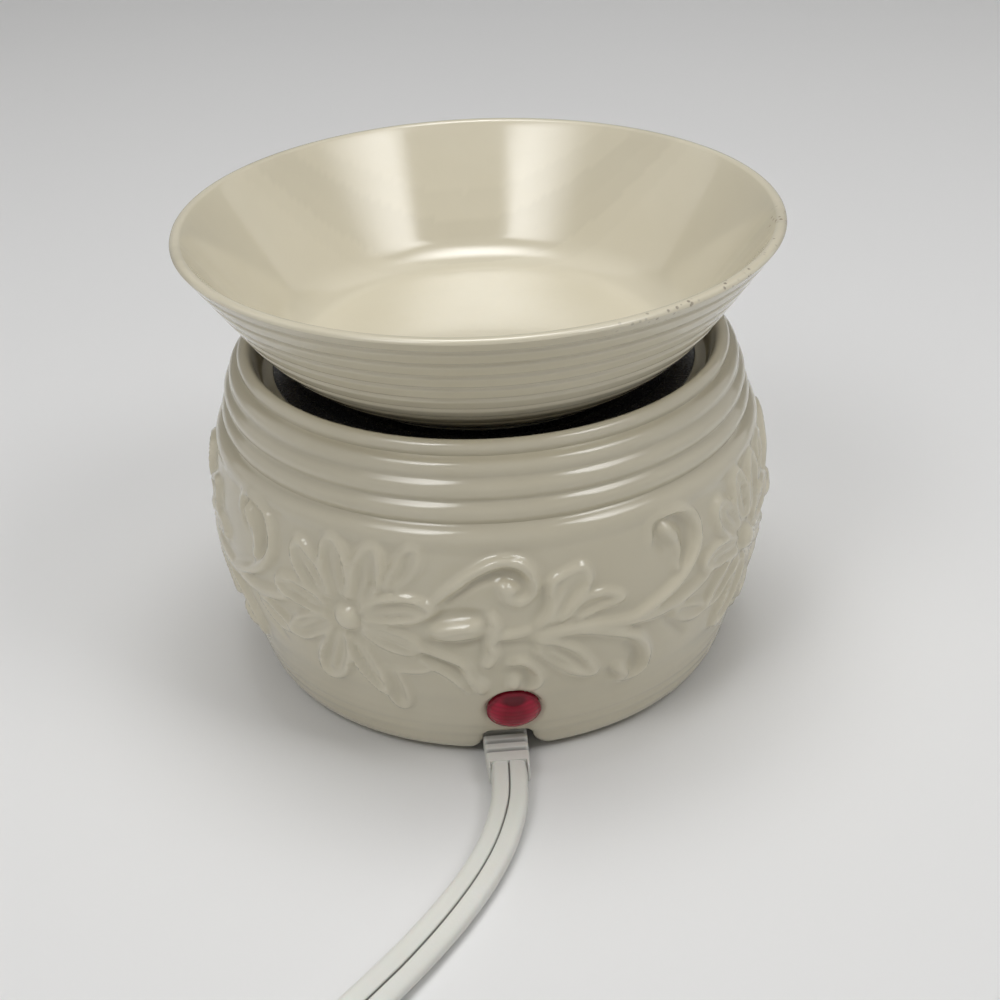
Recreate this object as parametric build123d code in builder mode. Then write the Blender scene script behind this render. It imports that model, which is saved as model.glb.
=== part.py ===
"""Electric candle and wax warmer: a ceramic bowl on a pot-bellied ceramic body with a hot plate inside.

Millimetres. The origin is the middle of the footprint on the table, +Z is up, and the front, with the
pilot light and the cord, faces -Y.
"""
from build123d import *
import math
import os

# Named values below are driving sizes unless they are worked out from others.

# Gaps and overruns
slip_gap = 0.3
loose_gap = 0.6
overrun = 5.0

# Ceramic body, outside
body_height = 81.9
belly_radius = 67.2
belly_height = 42.0
wall = 4.6
foot_lift = 0.8
foot_ring_height = 3.0
foot_edge_share = 0.818
foot_side_share = 0.857
side_radius_share = 0.946
side_height_share = 0.476
shoulder_radius_share = 0.967
shoulder_height_share = 0.730
groove_radius_shares = (0.927, 0.911, 0.896, 0.860)
groove_height_shares = (0.7985, 0.8584, 0.9158, 0.9610)
ridge_bulge = 1.15

# Raised flowers and scrolls on the body's side. Each bead has three places, given in degrees round
# from the front and as a share of the body's height, and its size as a share of the bead's radius.
relief_rise = 1.2
relief_repeats = 4
bead_radius = 1.9
button_radius = 2.7
button_share = (-31.8, 0.501)
bead_shares = [
    ((-36.0, 0.557), (-39.5, 0.617), (-42.6, 0.679), 1.0),
    ((-33.1, 0.582), (-34.4, 0.656), (-35.0, 0.723), 1.0),
    ((-29.5, 0.582), (-28.0, 0.652), (-26.4, 0.720), 1.0),
    ((-22.6, 0.628), (-20.6, 0.684), (-18.0, 0.727), 0.85),
    ((-26.6, 0.545), (-21.5, 0.577), (-16.0, 0.570), 1.0),
    ((-37.0, 0.520), (-42.0, 0.545), (-47.6, 0.540), 1.0),
    ((-36.2, 0.458), (-41.0, 0.425), (-45.6, 0.395), 1.0),
    ((-34.2, 0.418), (-36.8, 0.345), (-38.8, 0.274), 1.0),
    ((-30.2, 0.415), (-29.0, 0.340), (-27.0, 0.262), 1.0),
    ((-14.4, 0.585), (-4.0, 0.697), (4.4, 0.620), 0.9),
    ((-16.5, 0.490), (-10.5, 0.508), (-4.6, 0.527), 1.0),
    ((-17.0, 0.420), (-12.0, 0.365), (-8.4, 0.275), 1.0),
    ((5.2, 0.515), (9.4, 0.590), (13.6, 0.650), 1.0),
    ((11.6, 0.550), (16.0, 0.575), (20.8, 0.555), 0.9),
    ((4.0, 0.460), (11.4, 0.415), (16.0, 0.318), 0.9),
    ((17.0, 0.450), (25.6, 0.385), (27.4, 0.258), 0.9),
    ((23.0, 0.466), (33.0, 0.464), (42.0, 0.492), 1.0),
    ((36.4, 0.560), (39.6, 0.665), (32.6, 0.728), 0.9),
]

# Ceramic body, mouth and ledge
opening_share = 0.8125
rim_round = 2.2
rim_bow_share = 0.3
ledge_drop = 6.5
ledge_slope = 1.8
ledge_thickness = 4.0

# Hot plate pan and the heater stack under it
pan_clearance = 2.6
pan_flange_width = 4.1
pan_sheet = 0.9
pan_depth = 2.3
spreader_inset = 2.1
spreader_thickness = 2.5
mica_inset = 1.0
upper_mica_thickness = 0.5
ribbon_thickness = 0.3
former_thickness = 0.8
clamp_plate_thickness = 1.2
ribbon_inner_radius = 12.0
ribbon_margin = 6.0
ribbon_width = 2.4
ribbon_gap = 3.6
ribbon_rings = 6

# Tie rod, nuts and washers
rod_radius = 2.0
rod_clearance = 0.25
nut_flats = 7.0
nut_height = 3.2
washer_radius = 4.5
washer_thickness = 0.9
shield_inset = 9.0
shield_sheet = 0.8
shield_lip = 3.0
spacer_length = 5.0
spacer_wall = 1.1

# Base plate and feet
foot_rim = 4.57
base_seat_width = 3.1
base_recess = 2.6
base_plate_thickness = 1.2
base_cup_radius = 9.0
base_cup_rise = 4.0
base_flange_thickness = 4.0
base_vent_count = 8
base_vent_radius = 24.0
base_vent_length = 10.0
base_vent_width = 2.4
pad_count = 4
pad_inset = 9.1
pad_radius = 5.5
pad_stem_radius = 1.9
pad_stem_clearance = 0.1
pad_head_radius = 2.8
pad_head_height = 1.4

# Ceramic bowl
bowl_radius = 70.0
bowl_height = 36.3
lip_round = 1.1
bowl_low_overhang = 2.9
bowl_low_rise = 17.7
bowl_foot_inset = 8.1
bowl_foot_bevel = 0.9
foot_ring_width = 3.6
foot_recess = 2.2
bowl_bottom_thickness = 4.6
bowl_floor_inset = 8.0
bowl_wall = 3.0
bowl_inner_rise = 1.0
bowl_lip_thickness = 2.3
lip_crown_share = 0.4
bowl_rib_count = 8
bowl_rib_first = 3.6
bowl_rib_pitch = 4.3
bowl_rib_cutter = 1.0
bowl_rib_depth = 0.4

# Pilot light
lens_rise = 7.5
lens_tilt = 16.0
lens_head_radius = 6.15
lens_head_thickness = 1.2
lens_dome = 2.4
lens_stem_radius = 4.8
lens_stem_length = 9.0
lens_bore_radius = 3.5
lens_recess = 1.0
lens_nut_radius = 7.4
lens_nut_thickness = 1.0
lamp_radius = 3.0
lamp_length = 15.0
lamp_tip_share = 0.6
holder_wall = 0.9

# Cord notch and strain relief
notch_x = -0.8
notch_gap = 1.2
notch_flare = 2.2
notch_clearance = 1.6
relief_x = -1.8
relief_wall = 1.0
relief_taper = 0.6
relief_bottom = 0.5
relief_roof = 0.85
relief_round = 0.9
relief_drop = 0.7
relief_seat_depth = 9.1
relief_length = 28.8
relief_head_length = 4.6
relief_head_extra = 1.4
relief_head_rise = 0.8
relief_rib_setback = 13.8
relief_rib_count = 3
relief_rib_pitch = 2.7
relief_rib_width = 1.1
relief_rib_depth = 0.6
relief_recess_length = 4.3
plate_slot_clearance = 0.2

# Flat twin cord
cord_width = 8.2
cord_thickness = 4.3
core_radius = 1.4
core_spacing = 3.9
cord_exit_height = 3.6

# In-line switch
switch_length = 38.0
switch_width = 19.0
switch_end_width = 11.4
switch_wall = 1.5
switch_corner = 2.0
switch_edge_round = 1.2
switch_bottom_height = 5.0
switch_top_height = 7.6
switch_ceiling = 2.1
wheel_radius = 11.0
wheel_thickness = 3.2
wheel_height = 7.0
wheel_scallops = 24
wheel_scallop_radius = 0.9
wheel_scallop_depth = 0.4
switch_core_bend_share = 0.8
axle_radius = 1.4
axle_clearance = 0.08
axle_boss_radius = 3.0
screw_head_radius = 2.6
screw_head_height = 1.2
screw_reach_share = 0.7
switch_core_offset = 4.7
near_bend_share = 0.34
bow_bend_share = 0.2
contact_gap = 3.4
contact_thickness = 0.5
contact_width = 3.4
contact_height = 5.0

# Coil and plug
coil_radius = 48.0
coil_pitch = 5.1
coil_layer_gap = 0.5
coil_inward_halves = 5
coil_outward_halves = 5
coil_tail = 27.0
gap_step = 1.0
link_length = 20.0
link_sections = 7
tie_width = 5.0
tie_thickness = 0.6
tie_corner = 2.0
plug_length = 26.0
plug_width = 27.0
plug_thickness = 15.0
plug_neck_length = 9.0
plug_neck_width = 13.0
plug_neck_thickness = 8.6
plug_rib_count = 4
plug_rib_depth = 0.5
plug_rib_width = 1.0
plug_rib_pitch = 2.2
plug_corner = 3.0
plug_shoulder_length = 7.0
blade_length = 15.5
blade_width = 6.35
blade_thickness = 1.5
blade_spacing = 12.7
blade_hole_radius = 1.6
blade_hole_inset = 4.2

# Wires inside
lead_radius = 1.2
lead_bend = 4.0
lead_reach_share = 1.5
live_turn_share = 1.75
neutral_rise_shares = (0.2, 0.55, 0.72, 0.84)
live_rise_shares = (0.2, 0.56, 0.72)
lamp_wire_radius = 0.6
lamp_wire_bend = 2.5
lamp_wire_aside_share = 0.8
lamp_wire_bare_share = 0.9
crimp_radius = 2.6
crimp_length = 9.0
crimp_x = 12.0
crimp_place_share = 0.585362
core_turn_shares = (0.282353, 0.576471)
core_bend_share = 0.7
crimp_z = 8.2
tab_width = 3.0
tab_thickness = 0.8
tab_length = 7.0
fuse_radius = 2.0
fuse_length = 11.0
fuse_wire_radius = 0.5
clip_thickness = 0.6
clip_width = 4.0
clip_foot = 3.4

# Worked out: the mouth, the hot plate in it and the bowl on it
opening_radius = belly_radius * opening_share
ledge_height = body_height - ledge_drop
pan_radius = opening_radius - ledge_slope - pan_clearance
pan_well_radius = pan_radius - pan_flange_width
pan_flange_top = ledge_height + pan_sheet
pan_floor_top = pan_flange_top - pan_depth
pan_floor_bottom = pan_floor_top - pan_sheet
spreader_radius = pan_well_radius - spreader_inset
mica_radius = spreader_radius - mica_inset
ribbon_pitch = (mica_radius - ribbon_margin - ribbon_inner_radius) / (ribbon_rings - 1)
shield_radius = mica_radius - shield_inset
bowl_stand = pan_floor_top + slip_gap
bowl_top = bowl_stand + bowl_height
bowl_foot_height = bowl_stand + bowl_foot_bevel
bowl_foot_radius = pan_well_radius - bowl_foot_inset
bowl_floor_radius = bowl_foot_radius - bowl_floor_inset
bowl_wall_low_radius = opening_radius + bowl_low_overhang
bowl_wall_low_height = bowl_stand + bowl_low_rise
bowl_inner_low_radius = bowl_wall_low_radius - bowl_wall
bowl_inner_low_height = bowl_wall_low_height + bowl_inner_rise

# Worked out: the foot, the base plate in it, the strain relief in its notch and the lens above
foot_edge = belly_radius * foot_edge_share
base_plate_radius = foot_edge - foot_rim - slip_gap
base_inner_radius = base_plate_radius - base_seat_width
pad_ring_radius = base_plate_radius - pad_inset
relief_width = cord_width + 2 * relief_wall
relief_end_width = relief_width - relief_taper
relief_top = cord_exit_height + cord_thickness / 2 + relief_roof
relief_end_top = relief_top - relief_drop
relief_inner_end = base_plate_radius - relief_seat_depth
relief_outer_end = relief_inner_end + relief_length
relief_rib_start = relief_inner_end + relief_rib_setback
notch_width = relief_width + 2 * notch_gap
notch_top = relief_top + notch_clearance
lens_height = notch_top + lens_rise
crimp_y = -relief_inner_end * crimp_place_share

os.makedirs("parts", exist_ok=True)


def save(part, name):
    """Label a finished piece and write its STEP file."""
    part.label = name
    export_step(part, f"parts/{name}.step")


def tangent_radii(points, share=0.45):
    """The arc radius at each inner point of a cord's route, from its shorter run and its turn."""
    radii = []
    for before, here, after in zip(points, points[1:], points[2:]):
        first, second = Vector(*here) - Vector(*before), Vector(*after) - Vector(*here)
        half_turn = math.radians(first.get_angle(second)) / 2
        radii.append(share * min(first.length, second.length) / math.tan(half_turn))
    return radii


def wire_solid(points, radius, bend):
    """A round insulated wire along straight runs joined by arcs."""
    with BuildPart() as wire:
        with BuildLine() as route:
            FilletPolyline(*points, radius=bend)
        with BuildSketch(Plane(origin=route.line @ 0, z_dir=route.line % 0)):
            Circle(radius)
        sweep(path=route.line)
    return wire.part


# Ceramic body: outer outline from the foot up to the rim, then the inside back down
foot_top = foot_lift + foot_ring_height
foot_side = belly_radius * foot_side_share
side_point = (belly_radius * side_radius_share, belly_height * side_height_share)
belly_point = (belly_radius, belly_height)
inner_belly = (belly_radius - wall, belly_height)
shoulder_point = (belly_radius * shoulder_radius_share, body_height * shoulder_height_share)
grooves = [
    (belly_radius * r_share, body_height * z_share)
    for r_share, z_share in zip(groove_radius_shares, groove_height_shares)
]
rim_top = (opening_radius + rim_round, body_height)
rim_inside = (opening_radius, body_height - rim_round)
ledge_outer = (opening_radius - ledge_slope, ledge_height)
ledge_inner_radius = pan_well_radius + loose_gap
base_seat = foot_lift + base_recess
flange_top = base_seat + base_flange_thickness

with BuildPart() as body_raw:
    with BuildSketch(Plane.XZ):
        with BuildLine():
            ThreePointArc(
                (foot_edge, foot_lift),
                ((foot_edge + foot_side) / 2 + foot_lift, (foot_lift + foot_top) / 2 - foot_lift / 2),
                (foot_side, foot_top),
            )
            TangentArc(belly_point, side_point, tangent=(0, -1))
            Line(side_point, (foot_side, foot_top))
            TangentArc(belly_point, shoulder_point, tangent=(0, 1))
            ridge_feet = [shoulder_point] + grooves
            for low, high in zip(ridge_feet, ridge_feet[1:]):
                run = Vector(high[0] - low[0], high[1] - low[1]).normalized()
                middle = Vector((low[0] + high[0]) / 2, (low[1] + high[1]) / 2)
                ThreePointArc(low, middle + Vector(run.Y, -run.X) * ridge_bulge, high)
            ThreePointArc(
                grooves[-1],
                (grooves[-1][0] + ridge_bulge / 2, (grooves[-1][1] + body_height) / 2),
                rim_top,
            )
            ThreePointArc(
                rim_top,
                (opening_radius + rim_round * rim_bow_share, body_height - rim_round * rim_bow_share),
                rim_inside,
            )
            Polyline(
                rim_inside,
                ledge_outer,
                (ledge_inner_radius, ledge_height),
                (ledge_inner_radius, ledge_height - ledge_thickness),
                (grooves[1][0] - wall, grooves[0][1]),
                (shoulder_point[0] - wall, shoulder_point[1]),
            )
            TangentArc(inner_belly, (shoulder_point[0] - wall, shoulder_point[1]), tangent=(0, 1))
            TangentArc(inner_belly, (side_point[0] - wall, side_point[1]), tangent=(0, -1))
            Polyline(
                (side_point[0] - wall, side_point[1]),
                (foot_side - wall, flange_top + wall / 2),
                (foot_side - 2 * wall, flange_top),
                (base_inner_radius, flange_top),
                (base_inner_radius, base_seat),
                (base_plate_radius + slip_gap, base_seat),
                (base_plate_radius + slip_gap, foot_lift),
                (foot_edge, foot_lift),
            )
        make_face()
    revolve(axis=Axis.Z)

# Raised flowers and scrolls: beads that rise out of the wall and sink back into it, once to a repeat
side_bow = ((belly_radius - side_point[0]) ** 2 + (belly_height - side_point[1]) ** 2) / (
    2 * (belly_radius - side_point[0])
)
crown_bow = ((belly_radius - shoulder_point[0]) ** 2 + (shoulder_point[1] - belly_height) ** 2) / (
    2 * (belly_radius - shoulder_point[0])
)


def wall_point(degrees, height_share, depth):
    """A place at a depth in the body's wall, by its degrees round and its share of the height."""
    height = body_height * height_share
    bow = side_bow if height < belly_height else crown_bow
    radius = belly_radius - bow + math.sqrt(bow**2 - (height - belly_height) ** 2) - depth
    turn = math.radians(degrees - 90)
    return Vector(radius * math.cos(turn), radius * math.sin(turn), height)


with BuildPart() as flower_relief:
    for low, middle, high, size_share in bead_shares:
        radius = bead_radius * size_share
        with BuildLine() as bead_line:
            ThreePointArc(
                wall_point(*low, radius),
                wall_point(*middle, radius - relief_rise),
                wall_point(*high, radius),
            )
        with BuildSketch(Plane(origin=bead_line.line @ 0, z_dir=bead_line.line % 0)):
            Circle(radius)
        sweep(path=bead_line.line)
    with Locations(wall_point(*button_share, button_radius - relief_rise)):
        Sphere(button_radius)

# Cuts through the ceramic for the cord and the pilot light
lens_axis_out = Vector(0, -math.cos(math.radians(lens_tilt)), -math.sin(math.radians(lens_tilt)))
side_share = (lens_height - foot_top) / (side_point[1] - foot_top)
lens_seat_radius = foot_side + (side_point[0] - foot_side) * side_share
lens_seat = Vector(0, -lens_seat_radius, lens_height) - lens_axis_out * lens_recess
lens_plane = Plane(origin=lens_seat, x_dir=(1, 0, 0), z_dir=lens_axis_out)
notch_half = notch_width / 2

with BuildPart() as body_cuts:
    with BuildSketch(Plane.XZ.offset(base_inner_radius - overrun)):
        with BuildLine():
            Polyline(
                (notch_x - notch_half, notch_top - notch_flare),
                (notch_x - notch_half, foot_lift + notch_flare),
                (notch_x - notch_half - notch_flare, foot_lift - overrun),
                (notch_x + notch_half + notch_flare, foot_lift - overrun),
                (notch_x + notch_half, foot_lift + notch_flare),
                (notch_x + notch_half, notch_top - notch_flare),
            )
            ThreePointArc(
                (notch_x + notch_half, notch_top - notch_flare),
                (notch_x, notch_top),
                (notch_x - notch_half, notch_top - notch_flare),
            )
        make_face()
    extrude(amount=belly_radius - base_inner_radius + overrun)
    with BuildSketch(lens_plane.offset(-lens_stem_length - overrun)):
        Circle(lens_stem_radius + slip_gap)
    extrude(amount=lens_stem_length + 2 * overrun)
    with BuildSketch(lens_plane):
        Circle(lens_head_radius + slip_gap)
    extrude(amount=overrun)

with BuildPart() as body_shell:
    add(body_raw.part)
    with PolarLocations(0, relief_repeats):
        add(flower_relief.part)
    add(body_cuts.part, mode=Mode.SUBTRACT)
save(body_shell.part, "body_shell")

# Hot plate pan, with the floor that the bowl or a jar candle stands on
with BuildPart() as heater_pan:
    with BuildSketch(Plane.XZ):
        with BuildLine():
            Polyline(
                (0, pan_floor_bottom),
                (pan_well_radius, pan_floor_bottom),
                (pan_well_radius, ledge_height),
                (pan_radius, ledge_height),
                (pan_radius, pan_flange_top),
                (pan_well_radius - pan_sheet, pan_flange_top),
                (pan_well_radius - pan_sheet, pan_floor_top),
                (0, pan_floor_top),
                close=True,
            )
        make_face()
    revolve(axis=Axis.Z)
save(heater_pan.part, "heater_pan")

# Heater stack, from the pan downwards
spreader_bottom = pan_floor_bottom - spreader_thickness
upper_mica_bottom = spreader_bottom - upper_mica_thickness
ribbon_bottom = upper_mica_bottom - ribbon_thickness
former_bottom = ribbon_bottom - former_thickness
clamp_bottom = former_bottom - clamp_plate_thickness
rod_hole = rod_radius + rod_clearance
ribbon_outer_radius = ribbon_inner_radius + ribbon_pitch * (ribbon_rings - 1)
ribbon_end_y = -(ribbon_gap + ribbon_width) / 2
tab_places = [(ribbon_inner_radius, ribbon_end_y), (ribbon_outer_radius, ribbon_end_y)]
tab_hole = tab_width / 2 + loose_gap

for name, top, thickness, radius, holes in (
    ("heat_spreader", pan_floor_bottom, spreader_thickness, spreader_radius, []),
    ("upper_mica_disc", spreader_bottom, upper_mica_thickness, mica_radius, []),
    ("mica_former", ribbon_bottom, former_thickness, mica_radius, tab_places),
    ("clamp_plate", former_bottom, clamp_plate_thickness, mica_radius, tab_places),
):
    with BuildPart() as disc:
        with BuildSketch(Plane.XY.offset(top - thickness)):
            Circle(radius)
            Circle(rod_hole, mode=Mode.SUBTRACT)
            if holes:
                with Locations(*holes):
                    Circle(tab_hole, mode=Mode.SUBTRACT)
        extrude(amount=thickness)
    save(disc.part, name)

with BuildPart() as resistance_ribbon:
    with BuildSketch(Plane.XY.offset(ribbon_bottom)):
        for ring in reversed(range(ribbon_rings)):
            ring_radius = ribbon_inner_radius + ribbon_pitch * ring
            Circle(ring_radius + ribbon_width / 2)
            Circle(ring_radius - ribbon_width / 2, mode=Mode.SUBTRACT)
        with Locations((ribbon_outer_radius / 2 + ribbon_width, 0)):
            Rectangle(ribbon_outer_radius + ribbon_width, ribbon_gap, mode=Mode.SUBTRACT)
        for ring in range(ribbon_rings - 1):
            bar_side = 1 if ring % 2 == 0 else -1
            bar_x = ribbon_inner_radius + ribbon_pitch * (ring + 0.5)
            with Locations((bar_x, -bar_side * ribbon_end_y)):
                Rectangle(ribbon_pitch + ribbon_width / 2, ribbon_width)
    extrude(amount=ribbon_thickness)
save(resistance_ribbon.part, "resistance_ribbon")

with BuildPart() as terminal_tabs:
    with BuildSketch(Plane.XY.offset(ribbon_bottom - tab_length)):
        with Locations(*tab_places):
            Rectangle(tab_width, tab_thickness)
    extrude(amount=tab_length)
save(terminal_tabs.part, "terminal_tabs")

# Tie rod with its nuts and washers, which pulls the pan down onto the ledge and the base plate up
upper_washer_bottom = clamp_bottom - washer_thickness
upper_nut_bottom = upper_washer_bottom - nut_height
shield_top = upper_nut_bottom - spacer_length
shield_bottom = shield_top - shield_sheet
shield_nut_bottom = shield_bottom - nut_height
cup_bottom = base_seat - base_plate_thickness + base_cup_rise
base_washer_bottom = cup_bottom - washer_thickness
base_nut_bottom = base_washer_bottom - nut_height
rod_bottom = base_nut_bottom - washer_thickness / 2

with BuildPart() as tie_rod:
    with BuildSketch(Plane.XY.offset(rod_bottom)):
        Circle(rod_radius)
    extrude(amount=pan_floor_bottom - rod_bottom)
save(tie_rod.part, "tie_rod")

with BuildPart() as rod_washers:
    for bottom in (upper_washer_bottom, base_washer_bottom):
        with BuildSketch(Plane.XY.offset(bottom)):
            Circle(washer_radius)
            Circle(rod_hole, mode=Mode.SUBTRACT)
        extrude(amount=washer_thickness)
save(rod_washers.part, "rod_washers")

with BuildPart() as rod_nuts:
    for bottom in (upper_nut_bottom, shield_nut_bottom, base_nut_bottom):
        with BuildSketch(Plane.XY.offset(bottom)):
            RegularPolygon(nut_flats / 2, 6, major_radius=False)
            Circle(rod_radius, mode=Mode.SUBTRACT)
        extrude(amount=nut_height)
save(rod_nuts.part, "rod_nuts")

with BuildPart() as shield_spacer:
    with BuildSketch(Plane.XY.offset(shield_top)):
        Circle(rod_hole + spacer_wall)
        Circle(rod_hole, mode=Mode.SUBTRACT)
    extrude(amount=spacer_length)
save(shield_spacer.part, "shield_spacer")

# Thermal fuse under the clamp plate
fuse_z = clamp_bottom - fuse_radius
fuse_x = (tab_places[0][0] + tab_places[1][0]) / 2 + tab_width / 2
fuse_near_y = ribbon_end_y - fuse_radius - loose_gap - crimp_radius
fuse_far_y = fuse_near_y - fuse_length
fuse_drop_y = fuse_far_y - 2 * lamp_wire_bend

with BuildPart() as heat_shield:
    with BuildSketch(Plane.XZ):
        with BuildLine():
            Polyline(
                (rod_hole, shield_bottom),
                (shield_radius, shield_bottom),
                (shield_radius, shield_top + shield_lip),
                (shield_radius - shield_sheet, shield_top + shield_lip),
                (shield_radius - shield_sheet, shield_top),
                (rod_hole, shield_top),
                close=True,
            )
        make_face()
    revolve(axis=Axis.Z)
    with BuildSketch(Plane.XY.offset(shield_bottom - overrun)):
        with Locations(tab_places[0], (fuse_x, fuse_drop_y)):
            Circle(crimp_radius + loose_gap)
    extrude(amount=overrun + shield_sheet + shield_lip, mode=Mode.SUBTRACT)
save(heat_shield.part, "heat_shield")

# Base plate, pressed up against the seat in the foot of the body
base_plate_top = base_seat
base_plate_bottom = base_seat - base_plate_thickness
slot_half = relief_width / 2 - relief_rib_depth
relief_plate_end = relief_inner_end - plate_slot_clearance
pad_places = [
    (pad_ring_radius * math.cos(turn), pad_ring_radius * math.sin(turn))
    for turn in (math.radians(45 + 360 / pad_count * index) for index in range(pad_count))
]

with BuildPart() as base_plate:
    with BuildSketch(Plane.XZ):
        with BuildLine():
            Polyline(
                (rod_hole, cup_bottom),
                (base_cup_radius, cup_bottom),
                (base_cup_radius + base_cup_rise / 2, base_plate_bottom),
                (base_plate_radius, base_plate_bottom),
                (base_plate_radius, base_plate_top),
                (base_cup_radius + base_cup_rise / 2 + base_plate_thickness / 2, base_plate_top),
                (base_cup_radius + base_plate_thickness / 2, cup_bottom + base_plate_thickness),
                (rod_hole, cup_bottom + base_plate_thickness),
                close=True,
            )
        make_face()
    revolve(axis=Axis.Z)
    with BuildSketch(Plane.XY.offset(base_plate_bottom - overrun)):
        with Locations((relief_x, -(relief_plate_end + base_plate_radius + overrun) / 2)):
            Rectangle(
                2 * (slot_half + plate_slot_clearance),
                base_plate_radius + overrun - relief_plate_end,
            )
        with Locations(*pad_places):
            Circle(pad_stem_radius + pad_stem_clearance)
        with PolarLocations(base_vent_radius, base_vent_count):
            SlotOverall(base_vent_length, base_vent_width)
    extrude(amount=base_plate_thickness + 2 * overrun, mode=Mode.SUBTRACT)
save(base_plate.part, "base_plate")

with BuildPart() as rubber_feet:
    for bottom, height, radius in (
        (0, base_plate_bottom, pad_radius),
        (base_plate_bottom, base_plate_thickness, pad_stem_radius),
        (base_plate_top, pad_head_height, pad_head_radius),
    ):
        with BuildSketch(Plane.XY.offset(bottom)):
            with Locations(*pad_places):
                Circle(radius)
        extrude(amount=height)
save(rubber_feet.part, "rubber_feet")

# Ceramic bowl, with rounded ribs cut round its outside
bowl_outer_lip = (bowl_radius, bowl_top - lip_round)
bowl_inner_lip = (bowl_radius - bowl_lip_thickness, bowl_top - lip_round / 2)
low_wall = (bowl_wall_low_radius, bowl_wall_low_height)
inner_low = (bowl_inner_low_radius, bowl_inner_low_height)
wall_down = Vector(low_wall[0] - bowl_outer_lip[0], low_wall[1] - bowl_outer_lip[1]).normalized()
inner_down = Vector(inner_low[0] - bowl_inner_lip[0], inner_low[1] - bowl_inner_lip[1]).normalized()
bowl_under = bowl_foot_height + foot_recess / 2
bowl_floor_height = bowl_under + bowl_bottom_thickness

with BuildPart() as melting_bowl:
    with BuildSketch(Plane.XZ):
        with BuildLine():
            with BuildLine() as bowl_outside:
                Line(bowl_outer_lip, low_wall)
                TangentArc(low_wall, (bowl_foot_radius, bowl_foot_height), tangent=wall_down)
            Polyline(
                (bowl_foot_radius, bowl_foot_height),
                (bowl_foot_radius - slip_gap, bowl_stand),
                (bowl_foot_radius - foot_ring_width, bowl_stand),
                (bowl_foot_radius - foot_ring_width - foot_recess / 2, bowl_under),
                (0, bowl_under),
                (0, bowl_floor_height),
                (bowl_floor_radius, bowl_floor_height),
            )
            TangentArc(inner_low, (bowl_floor_radius, bowl_floor_height), tangent=inner_down)
            Line(inner_low, bowl_inner_lip)
            ThreePointArc(
                bowl_inner_lip,
                (bowl_radius - bowl_lip_thickness * lip_crown_share, bowl_top),
                bowl_outer_lip,
            )
        make_face()
    revolve(axis=Axis.Z)
    bowl_wire = bowl_outside.wire()
    with BuildSketch(Plane.XZ):
        for rib in range(bowl_rib_count):
            along = (bowl_rib_first + bowl_rib_pitch * rib) / bowl_wire.length
            place = bowl_wire.position_at(along)
            heading = bowl_wire.tangent_at(along)
            outwards = Vector(-heading.Y, heading.X) * (bowl_rib_cutter - bowl_rib_depth)
            with Locations((place.X + outwards.X, place.Y + outwards.Y)):
                Circle(bowl_rib_cutter)
    revolve(axis=Axis.Z, mode=Mode.SUBTRACT)
save(melting_bowl.part, "melting_bowl")

# Pilot light: jewel lens, push nut, lamp holder and neon lamp, all on one tilted axis
lens_line = Axis(lens_seat, lens_axis_out)
lens_section = Plane(origin=lens_seat, x_dir=(1, 0, 0), z_dir=Vector(1, 0, 0).cross(lens_axis_out))
lamp_front = lens_head_thickness - lens_dome / 2
with BuildPart() as indicator_lens:
    with BuildSketch(lens_section):
        with BuildLine():
            TangentArc(
                (0, lens_head_thickness + lens_dome),
                (lens_head_radius, lens_head_thickness),
                tangent=(1, 0),
            )
            Polyline(
                (0, lens_head_thickness + lens_dome),
                (0, lamp_front),
                (lens_bore_radius, lamp_front),
                (lens_bore_radius, -lens_stem_length),
                (lens_stem_radius, -lens_stem_length),
                (lens_stem_radius, 0),
                (lens_head_radius, 0),
                (lens_head_radius, lens_head_thickness),
            )
        make_face()
    revolve(axis=lens_line)
save(indicator_lens.part, "indicator_lens")

with BuildPart() as lens_push_nut:
    with BuildSketch(lens_plane.offset(-lens_stem_length)):
        Circle(lens_nut_radius)
        Circle(lens_stem_radius, mode=Mode.SUBTRACT)
    extrude(amount=lens_nut_thickness)
save(lens_push_nut.part, "lens_push_nut")

lamp_back = lamp_front - slip_gap - lamp_length
with BuildPart() as neon_lamp:
    with BuildSketch(lens_plane.offset(lamp_back)):
        Circle(lamp_radius)
    extrude(amount=lamp_length)
    fillet(neon_lamp.edges().sort_by(lens_line)[-1], lamp_radius * lamp_tip_share)
save(neon_lamp.part, "neon_lamp")

holder_back = lamp_back - holder_wall
with BuildPart() as lamp_holder:
    with BuildSketch(lens_plane.offset(holder_back)):
        Circle(lens_stem_radius)
        with Locations((-lamp_radius / 2, 0), (lamp_radius / 2, 0)):
            Circle(lamp_wire_radius, mode=Mode.SUBTRACT)
    extrude(amount=holder_wall)
    with BuildSketch(lens_plane.offset(lamp_back)):
        Circle(lens_stem_radius)
        Circle(lamp_radius, mode=Mode.SUBTRACT)
    extrude(amount=-lens_stem_length - lamp_back)
save(lamp_holder.part, "lamp_holder")

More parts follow.
